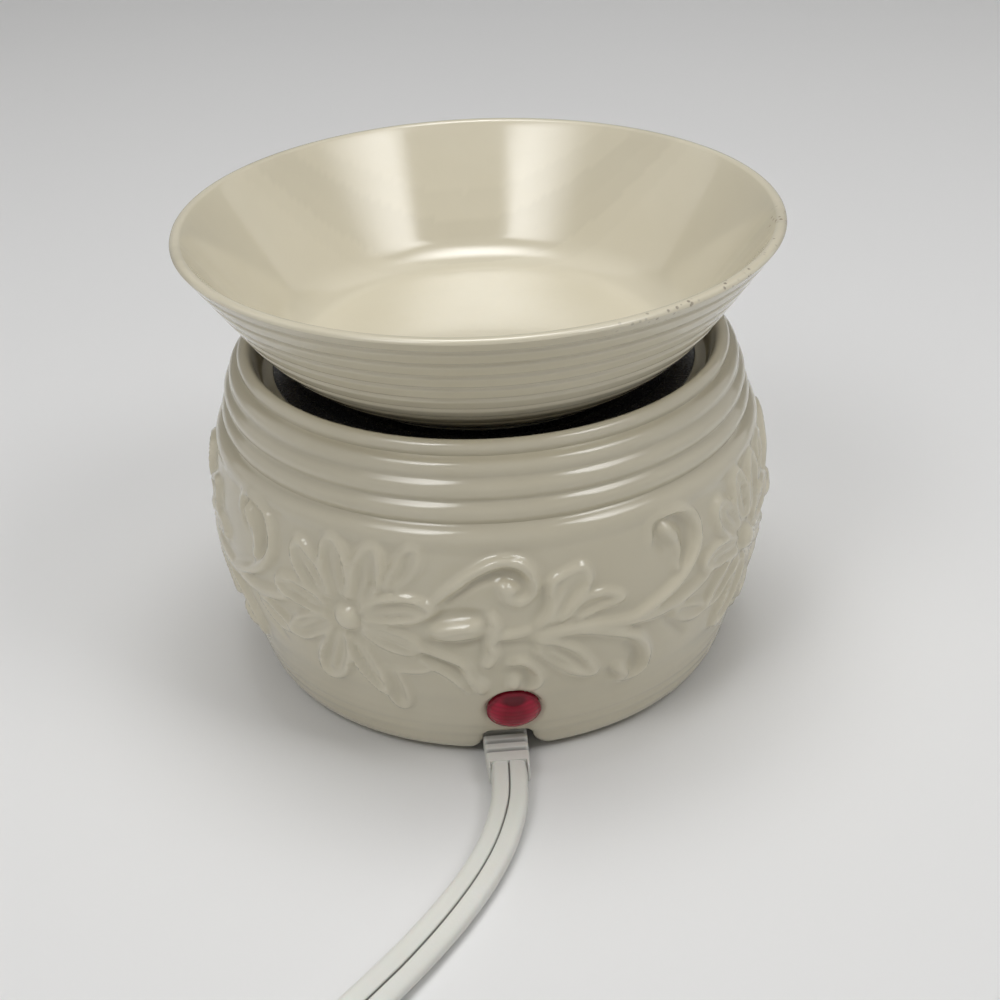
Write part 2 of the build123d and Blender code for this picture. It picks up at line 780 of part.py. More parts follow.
# Thermal fuse, its clip and the wires that join it to the element and the live lead
tab_bottom = ribbon_bottom - tab_length
fuse_crimp_top = fuse_z - 2 * lamp_wire_bend
with BuildPart() as thermal_fuse:
    with BuildSketch(Plane.XZ.offset(-fuse_near_y)):
        with Locations((fuse_x, fuse_z)):
            Circle(fuse_radius)
    extrude(amount=fuse_length)
    add(
        wire_solid(
            [
                (fuse_x, fuse_near_y, fuse_z),
                (fuse_x, ribbon_end_y, fuse_z),
                (tab_places[1][0] - tab_width / 2, ribbon_end_y, fuse_z),
            ],
            fuse_wire_radius,
            lamp_wire_bend,
        )
    )
    add(
        wire_solid(
            [
                (fuse_x, fuse_far_y, fuse_z),
                (fuse_x, fuse_drop_y, fuse_z),
                (fuse_x, fuse_drop_y, fuse_crimp_top),
            ],
            fuse_wire_radius,
            lamp_wire_bend,
        )
    )
save(thermal_fuse.part, "thermal_fuse")

clip_middle_y = (fuse_near_y + fuse_far_y) / 2
clip_inner = fuse_radius + slip_gap / 2
with BuildPart() as fuse_clip:
    with BuildSketch(Plane.XZ.offset(-clip_middle_y - clip_width / 2)):
        with Locations((fuse_x, fuse_z)):
            Circle(clip_inner + clip_thickness)
            Rectangle(2 * (clip_inner + clip_thickness), fuse_radius, align=(Align.CENTER, Align.MIN))
            Circle(clip_inner, mode=Mode.SUBTRACT)
            Rectangle(2 * clip_inner, fuse_radius, align=(Align.CENTER, Align.MIN), mode=Mode.SUBTRACT)
        for side in (-1, 1):
            foot_x = fuse_x + side * (clip_inner + clip_foot / 2)
            with Locations((foot_x, clamp_bottom - clip_thickness / 2)):
                Rectangle(clip_foot, clip_thickness)
        with Locations((0, clamp_bottom)):
            Rectangle(2 * mica_radius, overrun, align=(Align.CENTER, Align.MIN), mode=Mode.SUBTRACT)
    extrude(amount=clip_width)
save(fuse_clip.part, "fuse_clip")

# Crimps: two where the cord's cores meet the inner wires, one at the fuse and one at the element tab
element_crimp_bottom = tab_bottom - crimp_length / 2
fuse_crimp_bottom = fuse_crimp_top - crimp_length
with BuildPart() as wire_crimps:
    with BuildSketch(Plane.XZ.offset(-crimp_y - crimp_length)):
        with Locations((-crimp_x, crimp_z), (crimp_x, crimp_z)):
            Circle(crimp_radius)
    extrude(amount=crimp_length)
    with BuildSketch(Plane.XY.offset(element_crimp_bottom)):
        with Locations(tab_places[0]):
            Circle(crimp_radius)
    extrude(amount=crimp_length / 2)
    with BuildSketch(Plane.XY.offset(fuse_crimp_bottom)):
        with Locations((fuse_x, fuse_drop_y)):
            Circle(crimp_radius)
    extrude(amount=crimp_length)
save(wire_crimps.part, "wire_crimps")

# Inner wires, led up from the crimps to the heater in easy bends
crimp_back_y = crimp_y + crimp_length
rise = shield_bottom - crimp_z
neutral_rises = [crimp_z + rise * rise_share for rise_share in neutral_rise_shares]
neutral_route = [
    (-crimp_x, crimp_back_y, crimp_z),
    (-crimp_x, crimp_back_y + lead_reach_share * lead_bend, crimp_z),
    (-crimp_x - lead_bend / 4, crimp_back_y + 2 * lead_bend, neutral_rises[0]),
    (-crimp_x + lead_bend, crimp_back_y + lead_reach_share * lead_bend, neutral_rises[1]),
    (crimp_x / 2, crimp_back_y + lead_reach_share * lead_bend, neutral_rises[2]),
    (tab_places[0][0], tab_places[0][1], neutral_rises[3]),
    (tab_places[0][0], tab_places[0][1], element_crimp_bottom),
]
save(wire_solid(neutral_route, lead_radius, lead_bend), "neutral_lead")

live_rises = [crimp_z + rise * rise_share for rise_share in live_rise_shares]
live_route = [
    (crimp_x, crimp_back_y, crimp_z),
    (crimp_x, crimp_back_y + lead_reach_share * lead_bend, crimp_z),
    (crimp_x + lead_bend, crimp_back_y + live_turn_share * lead_bend, live_rises[0]),
    (fuse_x - lead_bend / 2, fuse_drop_y + 2 * lead_bend, live_rises[1]),
    (fuse_x, fuse_drop_y, live_rises[2]),
    (fuse_x, fuse_drop_y, fuse_crimp_bottom),
]
save(wire_solid(live_route, lead_radius, lead_bend), "live_lead")

core_z = base_plate_top + core_radius + slip_gap
core_run = crimp_y + relief_inner_end
core_turns = [core_run * turn_share - relief_inner_end for turn_share in core_turn_shares]
crimp_core_z = crimp_z - (crimp_radius - core_radius - slip_gap / 2)
with BuildPart() as cord_cores:
    for side in (-1, 1):
        core_x = relief_x + side * core_spacing / 2
        add(
            wire_solid(
                [
                    (core_x, -relief_inner_end, core_z),
                    (core_x, core_turns[0], core_z),
                    (side * crimp_x, core_turns[1], crimp_core_z),
                    (side * crimp_x, crimp_y, crimp_core_z),
                ],
                core_radius,
                lead_bend * core_bend_share,
            )
        )
save(cord_cores.part, "cord_cores")

lamp_wire_z = crimp_z + crimp_radius - lamp_wire_radius - slip_gap
with BuildPart() as lamp_wires:
    for side in (-1, 1):
        start = lens_seat + Vector(side * lamp_radius / 2, 0, 0) + lens_axis_out * lamp_back
        bend_in = start - lens_axis_out * (holder_wall + 2 * lamp_wire_bend)
        middle = Vector(
            side * crimp_x * lamp_wire_aside_share,
            (bend_in.Y + crimp_y) / 2,
            (bend_in.Z + lamp_wire_z) / 2,
        )
        add(
            wire_solid(
                [
                    start,
                    bend_in,
                    middle,
                    (side * crimp_x, crimp_y - 2 * lamp_wire_bend, lamp_wire_z),
                    (side * crimp_x, crimp_y, lamp_wire_z),
                ],
                lamp_wire_radius * lamp_wire_bare_share,
                lamp_wire_bend,
            )
        )
save(lamp_wires.part, "lamp_wires")

# Strain relief, a ribbed block that slots over the edges of the base plate
cord_start_y = -(relief_outer_end - relief_recess_length)
with BuildPart() as strain_relief:
    head_end = relief_inner_end + relief_head_length
    for place, width, top in (
        (relief_inner_end, relief_width, relief_top),
        (relief_outer_end, relief_end_width, relief_end_top),
    ):
        with BuildSketch(Plane.XZ.offset(place)):
            with Locations((relief_x, relief_bottom)):
                Rectangle(width, top - relief_bottom, align=(Align.CENTER, Align.MIN))
    loft()
    fillet(strain_relief.edges().filter_by(lambda edge: abs((edge % 0.5).Y) > 0.9), relief_round)
    with BuildSketch(Plane.XZ.offset(relief_inner_end)):
        with Locations((relief_x, relief_bottom)):
            RectangleRounded(
                relief_width + 2 * relief_head_extra,
                relief_top + relief_head_rise - relief_bottom,
                relief_round,
                align=(Align.CENTER, Align.MIN),
            )
    extrude(amount=relief_head_length)
    with BuildSketch(Plane.XY.offset(base_plate_bottom - pad_stem_clearance)):
        for side in (-1, 1):
            with Locations((relief_x + side * slot_half, -relief_plate_end)):
                Rectangle(
                    relief_width,
                    base_plate_radius + slip_gap - relief_plate_end,
                    align=(Align.MIN if side > 0 else Align.MAX, Align.MAX),
                )
    extrude(amount=base_plate_thickness + 2 * pad_stem_clearance, mode=Mode.SUBTRACT)
    for rib in range(relief_rib_count):
        with BuildSketch(Plane.XZ.offset(relief_rib_start + rib * relief_rib_pitch)):
            with Locations((relief_x, relief_bottom)):
                Rectangle(2 * relief_width, 2 * relief_top, align=(Align.CENTER, Align.MIN))
                Rectangle(
                    relief_width - 2 * relief_rib_depth,
                    relief_top - relief_rib_depth - relief_bottom,
                    align=(Align.CENTER, Align.MIN),
                    mode=Mode.SUBTRACT,
                )
        extrude(amount=relief_rib_width, mode=Mode.SUBTRACT)
    with BuildSketch(Plane.XZ.offset(-cord_start_y)):
        with Locations((relief_x, cord_exit_height - cord_thickness / 2 - slip_gap)):
            Rectangle(cord_width + 2 * slip_gap, relief_top, align=(Align.CENTER, Align.MIN))
    extrude(amount=relief_recess_length + overrun, mode=Mode.SUBTRACT)
save(strain_relief.part, "strain_relief")

# Cord from the strain relief to the switch. The steps are chosen by hand, from the cord's exit:
# how far to the left, how far forwards and how far down.
cord_steps = [
    (0.0, 0.0, 0.0),
    (0.0, 8.0, 0.0),
    (1.2, 16.0, 0.3),
    (4.4, 25.5, 0.8),
    (9.1, 35.1, 1.2),
    (15.4, 45.1, 1.3),
    (23.6, 55.9, 1.0),
    (33.2, 67.3, 0.2),
    (39.7, 76.5, -1.4),
    (44.7, 85.2, -1.4),
]
cord_route = [
    (relief_x - aside, cord_start_y - ahead, cord_exit_height - drop) for aside, ahead, drop in cord_steps
]
route_radii = tangent_radii(cord_route)
with BuildPart() as cord_run:
    with BuildLine() as run_line:
        FilletPolyline(*cord_route, radius=route_radii)
    with BuildSketch(Plane(origin=cord_route[0], x_dir=(1, 0, 0), z_dir=(0, -1, 0))):
        SlotOverall(cord_width, cord_thickness)
    sweep(path=run_line.wire())
save(cord_run.part, "cord_run")
section_area = (cord_width - cord_thickness) * cord_thickness + math.pi * cord_thickness**2 / 4
run_length = run_line.wire().length
print("cord run: arc radii", [round(radius, 1) for radius in route_radii])
print("cord run: length", round(run_length, 1))
print("cord run: volume share", round(cord_run.part.volume / (section_area * run_length), 4))

# In-line switch, placed by the end of the run
heading = (Vector(*cord_route[-1]) - Vector(*cord_route[-2])).normalized()
switch_centre = Vector(*cord_route[-1]) + heading * (switch_length / 2)
switch_plane = Plane(origin=(switch_centre.X, switch_centre.Y, 0), x_dir=heading, z_dir=(0, 0, 1))
switch_cord_z = cord_route[-1][2]
wheel_wall = (switch_width + switch_end_width) / 4 - switch_wall
wheel_slot = math.sqrt(wheel_radius**2 - wheel_wall**2) + slip_gap


def switch_outline(inset):
    """The long oval outline of the switch housing, drawn in by the inset."""
    half_length, half_end, half_middle = (
        switch_length / 2 - inset,
        switch_end_width / 2 - inset,
        switch_width / 2 - inset,
    )
    with BuildSketch() as outline:
        with BuildLine():
            ThreePointArc((-half_length, -half_end), (0, -half_middle), (half_length, -half_end))
            Line((half_length, -half_end), (half_length, half_end))
            ThreePointArc((half_length, half_end), (0, half_middle), (-half_length, half_end))
            Line((-half_length, half_end), (-half_length, -half_end))
        make_face()
    return outline.sketch


with BuildPart() as core_holes:
    hole_start = switch_plane.from_local_coords((-switch_length, 0, switch_cord_z))
    with BuildSketch(Plane(origin=hole_start, x_dir=heading.cross(Vector(0, 0, 1)), z_dir=heading)):
        with Locations((-core_spacing / 2, 0), (core_spacing / 2, 0)):
            Circle(core_radius + slip_gap / 2)
    extrude(amount=2 * switch_length)

with BuildPart() as switch_bottom:
    with BuildSketch(switch_plane):
        add(switch_outline(0))
    extrude(amount=switch_bottom_height)
    fillet(switch_bottom.edges().filter_by(Axis.Z), switch_corner)
    fillet(switch_bottom.faces().sort_by(Axis.Z)[0].edges(), switch_edge_round / 2)
    with BuildSketch(switch_plane.offset(switch_wall)):
        add(switch_outline(switch_wall))
    extrude(amount=switch_bottom_height, mode=Mode.SUBTRACT)
    add(core_holes.part, mode=Mode.SUBTRACT)
    with BuildSketch(switch_plane.offset(switch_wall)):
        Circle(axle_boss_radius)
    extrude(amount=wheel_height - slip_gap - switch_wall)
    with BuildSketch(switch_plane.offset(-overrun)):
        Circle(axle_radius + axle_clearance)
    extrude(amount=2 * overrun + wheel_height, mode=Mode.SUBTRACT)
    with BuildSketch(switch_plane):
        Circle(screw_head_radius + slip_gap / 2)
    extrude(amount=screw_head_height, mode=Mode.SUBTRACT)
save(switch_bottom.part, "switch_bottom")

switch_roof = switch_bottom_height + switch_top_height
with BuildPart() as switch_top:
    with BuildSketch(switch_plane.offset(switch_bottom_height)):
        add(switch_outline(0))
    extrude(amount=switch_top_height)
    fillet(switch_top.edges().filter_by(Axis.Z), switch_corner)
    fillet(switch_top.faces().sort_by(Axis.Z)[-1].edges(), switch_edge_round)
    with BuildSketch(switch_plane.offset(switch_bottom_height)):
        add(switch_outline(switch_wall))
    extrude(amount=switch_top_height - switch_ceiling, mode=Mode.SUBTRACT)
    with BuildSketch(switch_plane.offset(switch_roof - switch_ceiling - overrun)):
        Circle(axle_radius)
    extrude(amount=overrun + switch_ceiling * screw_reach_share, mode=Mode.SUBTRACT)
    with BuildSketch(switch_plane.offset(wheel_height - slip_gap)):
        Rectangle(2 * wheel_slot, 2 * switch_width)
    extrude(amount=switch_roof - switch_ceiling - wheel_height + slip_gap, mode=Mode.SUBTRACT)
    add(core_holes.part, mode=Mode.SUBTRACT)
save(switch_top.part, "switch_top")

with BuildPart() as switch_wheel:
    with BuildSketch(switch_plane.offset(wheel_height)):
        Circle(wheel_radius)
        Circle(axle_radius + axle_clearance, mode=Mode.SUBTRACT)
        with PolarLocations(wheel_radius + wheel_scallop_radius - wheel_scallop_depth, wheel_scallops):
            Circle(wheel_scallop_radius, mode=Mode.SUBTRACT)
    extrude(amount=wheel_thickness)
save(switch_wheel.part, "switch_wheel")

with BuildPart() as switch_screw:
    with BuildSketch(switch_plane.offset(slip_gap)):
        Circle(screw_head_radius)
    extrude(amount=screw_head_height - slip_gap)
    with BuildSketch(switch_plane.offset(screw_head_height)):
        Circle(axle_radius)
    extrude(amount=switch_roof - switch_ceiling * (1 - screw_reach_share) - screw_head_height)
save(switch_screw.part, "switch_screw")

with BuildPart() as switch_contacts:
    with BuildSketch(switch_plane.offset(switch_wall)):
        for side in (-1, 1):
            with Locations((side * (contact_gap - contact_thickness / 2), -switch_core_offset)):
                Rectangle(contact_thickness, contact_width)
    extrude(amount=contact_height)
save(switch_contacts.part, "switch_contacts")

end_x = switch_length / 2
near_x = switch_length * near_bend_share
bow_x = switch_length * bow_bend_share
with BuildPart() as switch_cores:
    for local_route in (
        [(-end_x, 1, 0), (-near_x, 1, 0), (-bow_x, 1, 1), (bow_x, 1, 1), (near_x, 1, 0), (end_x, 1, 0)],
        [(-end_x, -1, 0), (-near_x, -1, 0), (-bow_x, -1, 1), (-contact_gap, -1, 1)],
        [(contact_gap, -1, 1), (bow_x, -1, 1), (near_x, -1, 0), (end_x, -1, 0)],
    ):
        route = [
            switch_plane.from_local_coords(
                (x, side * (switch_core_offset if bowed else core_spacing / 2), switch_cord_z)
            )
            for x, side, bowed in local_route
        ]
        add(wire_solid(route, core_radius, lead_bend * switch_core_bend_share))
save(switch_cores.part, "switch_cores")

# Cord from the switch to the coil, where the flat cord turns up on its edge
link_start = Vector(*cord_route[-1]) + heading * switch_length
sideways = Vector(-heading.Y, heading.X, 0)
with BuildPart() as cord_link:
    for section in range(link_sections):
        share = section / (link_sections - 1)
        turn = math.radians(90 * share)
        wide_axis = sideways * math.cos(turn) + Vector(0, 0, 1) * math.sin(turn)
        place = link_start + heading * (link_length * share)
        with BuildSketch(Plane(origin=place, x_dir=wide_axis, z_dir=heading)):
            SlotOverall(cord_width, cord_thickness)
    loft()
save(cord_link.part, "cord_link")

# Coil of the put-away length: half turns inwards below, one climb, half turns outwards above
coil_start = link_start + heading * link_length
coil_entry = coil_start + heading * cord_width
coil_centre = coil_entry + sideways * coil_radius
low_z = coil_start.Z
high_z = low_z + cord_width + coil_layer_gap
half_pitch = coil_pitch / 2
reaches = [coil_radius - half_pitch * half for half in range(coil_inward_halves + 2)]
reaches += [reaches[-1] + half_pitch * (half + 3) for half in range(coil_outward_halves)]


def coil_point(half):
    """Where the coil crosses the line through its centre and its entry, after so many half turns."""
    side = -1 if half % 2 == 0 else 1
    point = coil_centre + sideways * (side * reaches[half])
    return Vector(point.X, point.Y, low_z if half <= coil_inward_halves else high_z)


with BuildPart() as cord_coil:
    with BuildLine() as coil_line:
        Line(coil_start, coil_entry)
        for half in range(len(reaches) - 1):
            here, after = coil_point(half), coil_point(half + 1)
            travel = heading if half % 2 == 0 else heading * -1
            crown = (here + after) * 0.5 + travel * ((after - here).length / 2)
            ThreePointArc(here, crown, after)
        coil_exit = coil_point(len(reaches) - 1)
        coil_end = coil_exit - heading * coil_tail
        Line(coil_exit, coil_end)
    with BuildSketch(Plane(origin=coil_start, x_dir=(0, 0, 1), z_dir=heading)):
        SlotOverall(cord_width, cord_thickness)
    sweep(path=coil_line.wire(), binormal=coil_line.wire().moved(Location((0, 0, overrun))))
save(cord_coil.part, "cord_coil")

coil_length = coil_line.wire().length
print("cord coil: length", round(coil_length, 1))
print("cord coil: volume share", round(cord_coil.part.volume / (section_area * coil_length), 4))
print("cord in all", round(run_length + switch_length + link_length + coil_length, 1))


def coil_gap():
    """The least gap of the coiled cord to itself, measured on points one step apart along it."""
    wire = coil_line.wire()
    steps = int(coil_length / gap_step)
    points = [wire.position_at(index / steps) for index in range(steps + 1)]
    upright = cord_width - cord_thickness
    apart = int(coil_radius / gap_step)
    least = coil_radius
    for index, first in enumerate(points):
        for second in points[index + apart:]:
            if abs(first.X - second.X) < cord_width and abs(first.Y - second.Y) < cord_width:
                flat = math.hypot(first.X - second.X, first.Y - second.Y)
                rise_past = max(0, abs(first.Z - second.Z) - upright)
                least = min(least, math.hypot(flat, rise_past) - cord_thickness)
    return least


print("cord coil: least gap to itself", round(coil_gap(), 2))

# Tie round all the turns of the coil, on the side that lies farthest along the entry's heading
crossings = range(0, len(reaches) - 1, 2)
tie_inside = min(
    math.sqrt(((reaches[half] + reaches[half + 1]) / 2) ** 2
              - (abs(reaches[half] - reaches[half + 1]) / 2 + tie_width / 2) ** 2)
    for half in crossings
) - cord_thickness / 2 - slip_gap
tie_outside = max((reaches[half] + reaches[half + 1]) / 2 for half in crossings)
tie_outside += cord_thickness / 2 + slip_gap
tie_low = low_z - cord_width / 2 - slip_gap
tie_high = high_z + cord_width / 2 + slip_gap
tie_plane = Plane(
    origin=Vector(coil_centre.X, coil_centre.Y, 0) + sideways * (tie_width / 2),
    x_dir=heading,
    z_dir=sideways * -1,
)
with BuildPart() as cord_tie:
    with BuildSketch(tie_plane):
        with Locations(((tie_inside + tie_outside) / 2, (tie_low + tie_high) / 2)):
            RectangleRounded(
                tie_outside - tie_inside + 2 * tie_thickness,
                tie_high - tie_low + 2 * tie_thickness,
                tie_corner,
            )
            RectangleRounded(
                tie_outside - tie_inside,
                tie_high - tie_low,
                tie_corner - tie_thickness,
                mode=Mode.SUBTRACT,
            )
    extrude(amount=tie_width)
save(cord_tie.part, "cord_tie")

# Two-pin plug, lying on its edge beside the coil
plug_plane = Plane(origin=coil_end, x_dir=(0, 0, 1), z_dir=heading * -1)
shoulder_width = (plug_neck_width + plug_width) / 2
shoulder_thickness = (plug_neck_thickness + plug_thickness) / 2
with BuildPart() as plug_body:
    for place, width, thickness in (
        (0, plug_neck_width, plug_neck_thickness),
        (plug_neck_length, shoulder_width, shoulder_thickness),
        (plug_neck_length + plug_shoulder_length, plug_width, plug_thickness),
    ):
        with BuildSketch(plug_plane.offset(place)):
            RectangleRounded(width, thickness, plug_corner)
    loft(ruled=True)
    with BuildSketch(plug_plane.offset(plug_neck_length + plug_shoulder_length)):
        RectangleRounded(plug_width, plug_thickness, plug_corner)
    extrude(amount=plug_length - plug_shoulder_length)
    for rib in range(plug_rib_count):
        rib_place = plug_neck_length + plug_shoulder_length + plug_rib_pitch * (rib + 1)
        with BuildSketch(plug_plane.offset(rib_place)):
            RectangleRounded(plug_width + overrun, plug_thickness + overrun, plug_corner)
            RectangleRounded(
                plug_width - 2 * plug_rib_depth,
                plug_thickness - 2 * plug_rib_depth,
                plug_corner - plug_rib_depth,
                mode=Mode.SUBTRACT,
            )
        extrude(amount=plug_rib_width, mode=Mode.SUBTRACT)
save(plug_body.part, "plug_body")

with BuildPart() as plug_blades:
    with BuildSketch(plug_plane.offset(plug_neck_length + plug_length)):
        for side in (-1, 1):
            with Locations((side * blade_spacing / 2, 0)):
                Rectangle(blade_thickness, blade_width)
    extrude(amount=blade_length)
    chamfer(plug_blades.faces().group_by(Axis(coil_end, heading * -1))[-1].edges(), blade_thickness / 4)
    hole_axis = Plane(
        origin=plug_plane.from_local_coords(
            (-plug_width, 0, plug_neck_length + plug_length + blade_length - blade_hole_inset)
        ),
        z_dir=(0, 0, 1),
    )
    with BuildSketch(hole_axis):
        Circle(blade_hole_radius)
    extrude(amount=2 * plug_width, mode=Mode.SUBTRACT)
save(plug_blades.part, "plug_blades")
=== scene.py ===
"""Looks of the candle and wax warmer: glazed ceramic with carved flowers, hot plate, pilot light and cord."""

import logging
import math
from dataclasses import dataclass
from enum import Enum
from typing import Sequence

import bmesh
import bpy
import numpy as np
from mathutils import Matrix, Vector


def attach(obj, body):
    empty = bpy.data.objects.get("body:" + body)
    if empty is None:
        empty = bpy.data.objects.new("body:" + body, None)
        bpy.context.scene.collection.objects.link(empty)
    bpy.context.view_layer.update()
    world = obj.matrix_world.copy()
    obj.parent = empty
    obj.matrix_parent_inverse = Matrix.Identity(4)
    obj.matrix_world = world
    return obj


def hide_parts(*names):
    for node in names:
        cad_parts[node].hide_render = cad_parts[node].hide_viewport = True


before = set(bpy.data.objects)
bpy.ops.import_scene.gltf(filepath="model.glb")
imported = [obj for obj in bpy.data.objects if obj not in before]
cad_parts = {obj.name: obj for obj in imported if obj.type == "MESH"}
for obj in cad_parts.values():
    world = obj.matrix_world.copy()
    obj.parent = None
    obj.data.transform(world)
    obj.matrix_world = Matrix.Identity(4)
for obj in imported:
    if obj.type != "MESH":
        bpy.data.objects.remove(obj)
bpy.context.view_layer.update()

logging.basicConfig(level=logging.INFO, format="%(levelname)s %(message)s")
LOG = logging.getLogger("warmer")

MM = 0.001
Colour = tuple[float, float, float]
Point2 = tuple[float, float]
Point3 = tuple[float, float, float]
Socket = bpy.types.NodeSocket


# Finishes

class Grain(Enum):
    """The fine texture that a finish has."""

    CLOUDY = "cloudy"
    BRUSHED = "brushed"
    SPANGLE = "spangle"
    SPECKLE = "speckle"
    WOVEN = "woven"
    GLAZE = "glaze"
    JEWEL = "jewel"


WHOLE = (0.0, 1.0)
NOISE_RANGE = (0.3, 0.7)
CLOUD_DETAIL = 4.0
FINE_DETAIL = 6.0
BRUSH_DETAIL = 3.0
BRUSH_STRETCH = (1.0, 0.03, 1.0)
COAT_ROUGHNESS = 0.06
SCATTER_SCALE = 0.003
LEAST_ROUGHNESS = 0.02
FLECK_RANGE, FLECK_SHARES, FLECK_TONE = (0.35, 0.65), (0.5, 0.0), 0.78
FACET_SHARE, FACET_TONE = 0.35, 0.4


def toned(colour: Colour, tone: float = 1.0) -> tuple[float, ...]:
    """A colour times a tone, as the four numbers that a node's socket takes."""
    return (*(tone * value for value in colour), 1.0)


@dataclass(frozen=True)
class GlazeRule:
    """How the glaze is darker in hollows and paler on ridges, partly from pooled and thinned glaze and partly
    as painted shade and painted light, and is pitted at one part of the bowl's rim.
    """

    hollow: Point2 = (-0.7, 0.1)
    ridge: Point2 = (0.3, 1.3)
    change: float = 0.55
    pooled_and_shaded_tone: float = 0.80
    thin_and_lit_tone: float = 1.10
    pit_scale: float = 620.0
    pit_edge: Point2 = (0.16, 0.3)
    cluster_scale: float = 160.0
    cluster_detail: float = 2.0
    cluster_edge: Point2 = (0.5, 0.6)
    pit_share: float = 0.8
    pit_colour: Colour = (0.16, 0.12, 0.09)
    pitted: tuple[tuple[str, Point2], ...] = (
        ("Z", (0.1080, 0.1092)), ("X", (0.018, 0.036)), ("Y", (-0.006, -0.016)),
    )


@dataclass(frozen=True)
class Finish:
    """One procedural material, with its sizes in metres.

    Its colour and its tint mix in clouds, and its roughness differs by the spread. Where a piece stores a
    depth, painted shade takes the colour down to its shade tone.
    """

    name: str
    colour: Colour
    tint: Colour
    roughness: float
    spread: float = 0.05
    grain: Grain = Grain.CLOUDY
    cloud_size: float = 0.02
    grain_size: float = 0.0008
    grain_depth: float = 0.00004
    metallic: float = 0.0
    coat: float = 0.0
    transmission: float = 0.0
    subsurface: float = 0.0
    ior: float = 1.5
    painted_shade_tone: float = 0.0

    def material(self) -> bpy.types.Material:
        """Makes the finish's material, once.

        Returns:
            The material, with its colour, roughness and relief worked out from nodes.
        """
        if self.name in bpy.data.materials:
            return bpy.data.materials[self.name]
        made = bpy.data.materials.new(self.name)
        made.use_nodes = True
        tree = NodeTree(made.node_tree)
        shader = made.node_tree.nodes["Principled BSDF"].inputs
        for socket, value in (
            ("Metallic", self.metallic),
            ("Coat Weight", self.coat),
            ("Coat Roughness", COAT_ROUGHNESS),
            ("Transmission Weight", self.transmission),
            ("Subsurface Weight", self.subsurface),
            ("Subsurface Scale", SCATTER_SCALE),
            ("IOR", self.ior),
        ):
            shader[socket].default_value = value
        place = tree.add("ShaderNodeTexCoord").outputs["Object"]
        fine = self._fine(tree, place)
        rough = (max(LEAST_ROUGHNESS, self.roughness - self.spread), min(1.0, self.roughness + self.spread))
        bump = tree.add("ShaderNodeBump", Strength=1.0, Distance=self.grain_depth)
        tree.join(self._colour(tree, place, fine), shader["Base Color"])
        tree.join(tree.map_range(fine, NOISE_RANGE, rough), shader["Roughness"])
        tree.join(fine, bump.inputs["Height"])
        tree.join(bump.outputs["Normal"], shader["Normal"])
        return made

    def _fine(self, tree: "NodeTree", place: Socket) -> Socket:
        """Makes the finish's fine texture.

        Args:
            tree: The nodes that it adds to.
            place: The place on the piece.

        Returns:
            The texture as one value from 0 to 1.
        """
        scale = 1 / self.grain_size
        if self.grain is Grain.BRUSHED:
            drawn = tree.textured("ShaderNodeMapping", place, Scale=BRUSH_STRETCH).outputs["Vector"]
            return tree.noise(drawn, scale, BRUSH_DETAIL)
        if self.grain is Grain.SPANGLE:
            return tree.cells(place, scale)
        if self.grain is Grain.WOVEN:
            return tree.math("MULTIPLY", tree.waves(place, scale, "X"), tree.waves(place, scale, "Z"))
        if self.grain is Grain.JEWEL:
            return tree.waves(place, scale, "Z")
        return tree.noise(place, scale, FINE_DETAIL)

    def _colour(self, tree: "NodeTree", place: Socket, fine: Socket) -> Socket:
        """Mixes the finish's clouds, its grain and its painted shade.

        Args:
            tree: The nodes that it adds to.
            place: The place on the piece.
            fine: The fine texture's value.

        Returns:
            The colour.
        """
        cloud = tree.map_range(tree.noise(place, 1 / self.cloud_size, CLOUD_DETAIL), NOISE_RANGE, WHOLE)
        colour = tree.mix(cloud, toned(self.colour), toned(self.tint))
        if self.grain is Grain.GLAZE:
            colour = self._glaze(tree, place, colour, GlazeRule())
        elif self.grain is Grain.JEWEL:
            facets = tree.math("MULTIPLY", fine, FACET_SHARE)
            colour = tree.mix(facets, colour, toned(self.colour, FACET_TONE))
        elif self.grain in (Grain.SPECKLE, Grain.SPANGLE, Grain.WOVEN):
            flecks = tree.map_range(fine, FLECK_RANGE, FLECK_SHARES)
            colour = tree.mix(flecks, colour, toned(self.colour, FLECK_TONE))
        # Painted shade: the stored depth darkens the colour towards the painted shade tone.
        if self.painted_shade_tone:
            colour = tree.mix(tree.stored("depth"), colour, toned(self.colour, self.painted_shade_tone))
        return colour

    def _glaze(self, tree: "NodeTree", place: Socket, colour: Socket, rule: GlazeRule) -> Socket:
        """The glaze's colour: warm and dark in hollows and paler on ridges, partly pooled and thin glaze and
        partly painted shade and painted light, with pits at the rim.

        Args:
            tree: The material's nodes.
            place: The place on the piece.
            colour: The cloudy colour under the pits and hollows.
            rule: The glaze's numbers.

        Returns:
            The colour with all of them.
        """
        relief = tree.stored("relief")
        # Painted shade in hollows and painted light on ridges, together with pooled and thin glaze.
        hollow = tree.map_range(relief, rule.hollow, (rule.change, 0.0))
        ridge = tree.map_range(relief, rule.ridge, (0.0, rule.change))
        colour = tree.mix(hollow, colour, toned(self.tint, rule.pooled_and_shaded_tone))
        colour = tree.mix(ridge, colour, toned(self.colour, rule.thin_and_lit_tone))
        dots = tree.textured("ShaderNodeTexVoronoi", place, Scale=rule.pit_scale).outputs["Distance"]
        cluster = tree.noise(place, rule.cluster_scale, rule.cluster_detail)
        pits = tree.math(
            "MULTIPLY", tree.map_range(dots, rule.pit_edge, (1.0, 0.0)),
            tree.map_range(cluster, rule.cluster_edge, (0.0, rule.pit_share)),
        )
        parts = tree.split(place)
        for axis, reach in rule.pitted:
            pits = tree.math("MULTIPLY", pits, tree.map_range(parts[axis], reach, WHOLE))
        return tree.mix(pits, colour, toned(rule.pit_colour))


def in_use(sockets: Sequence[Socket], name: str) -> Socket:
    """The socket of a name that a node's settings leave in use."""
    return next(socket for socket in sockets if socket.name == name and socket.enabled)


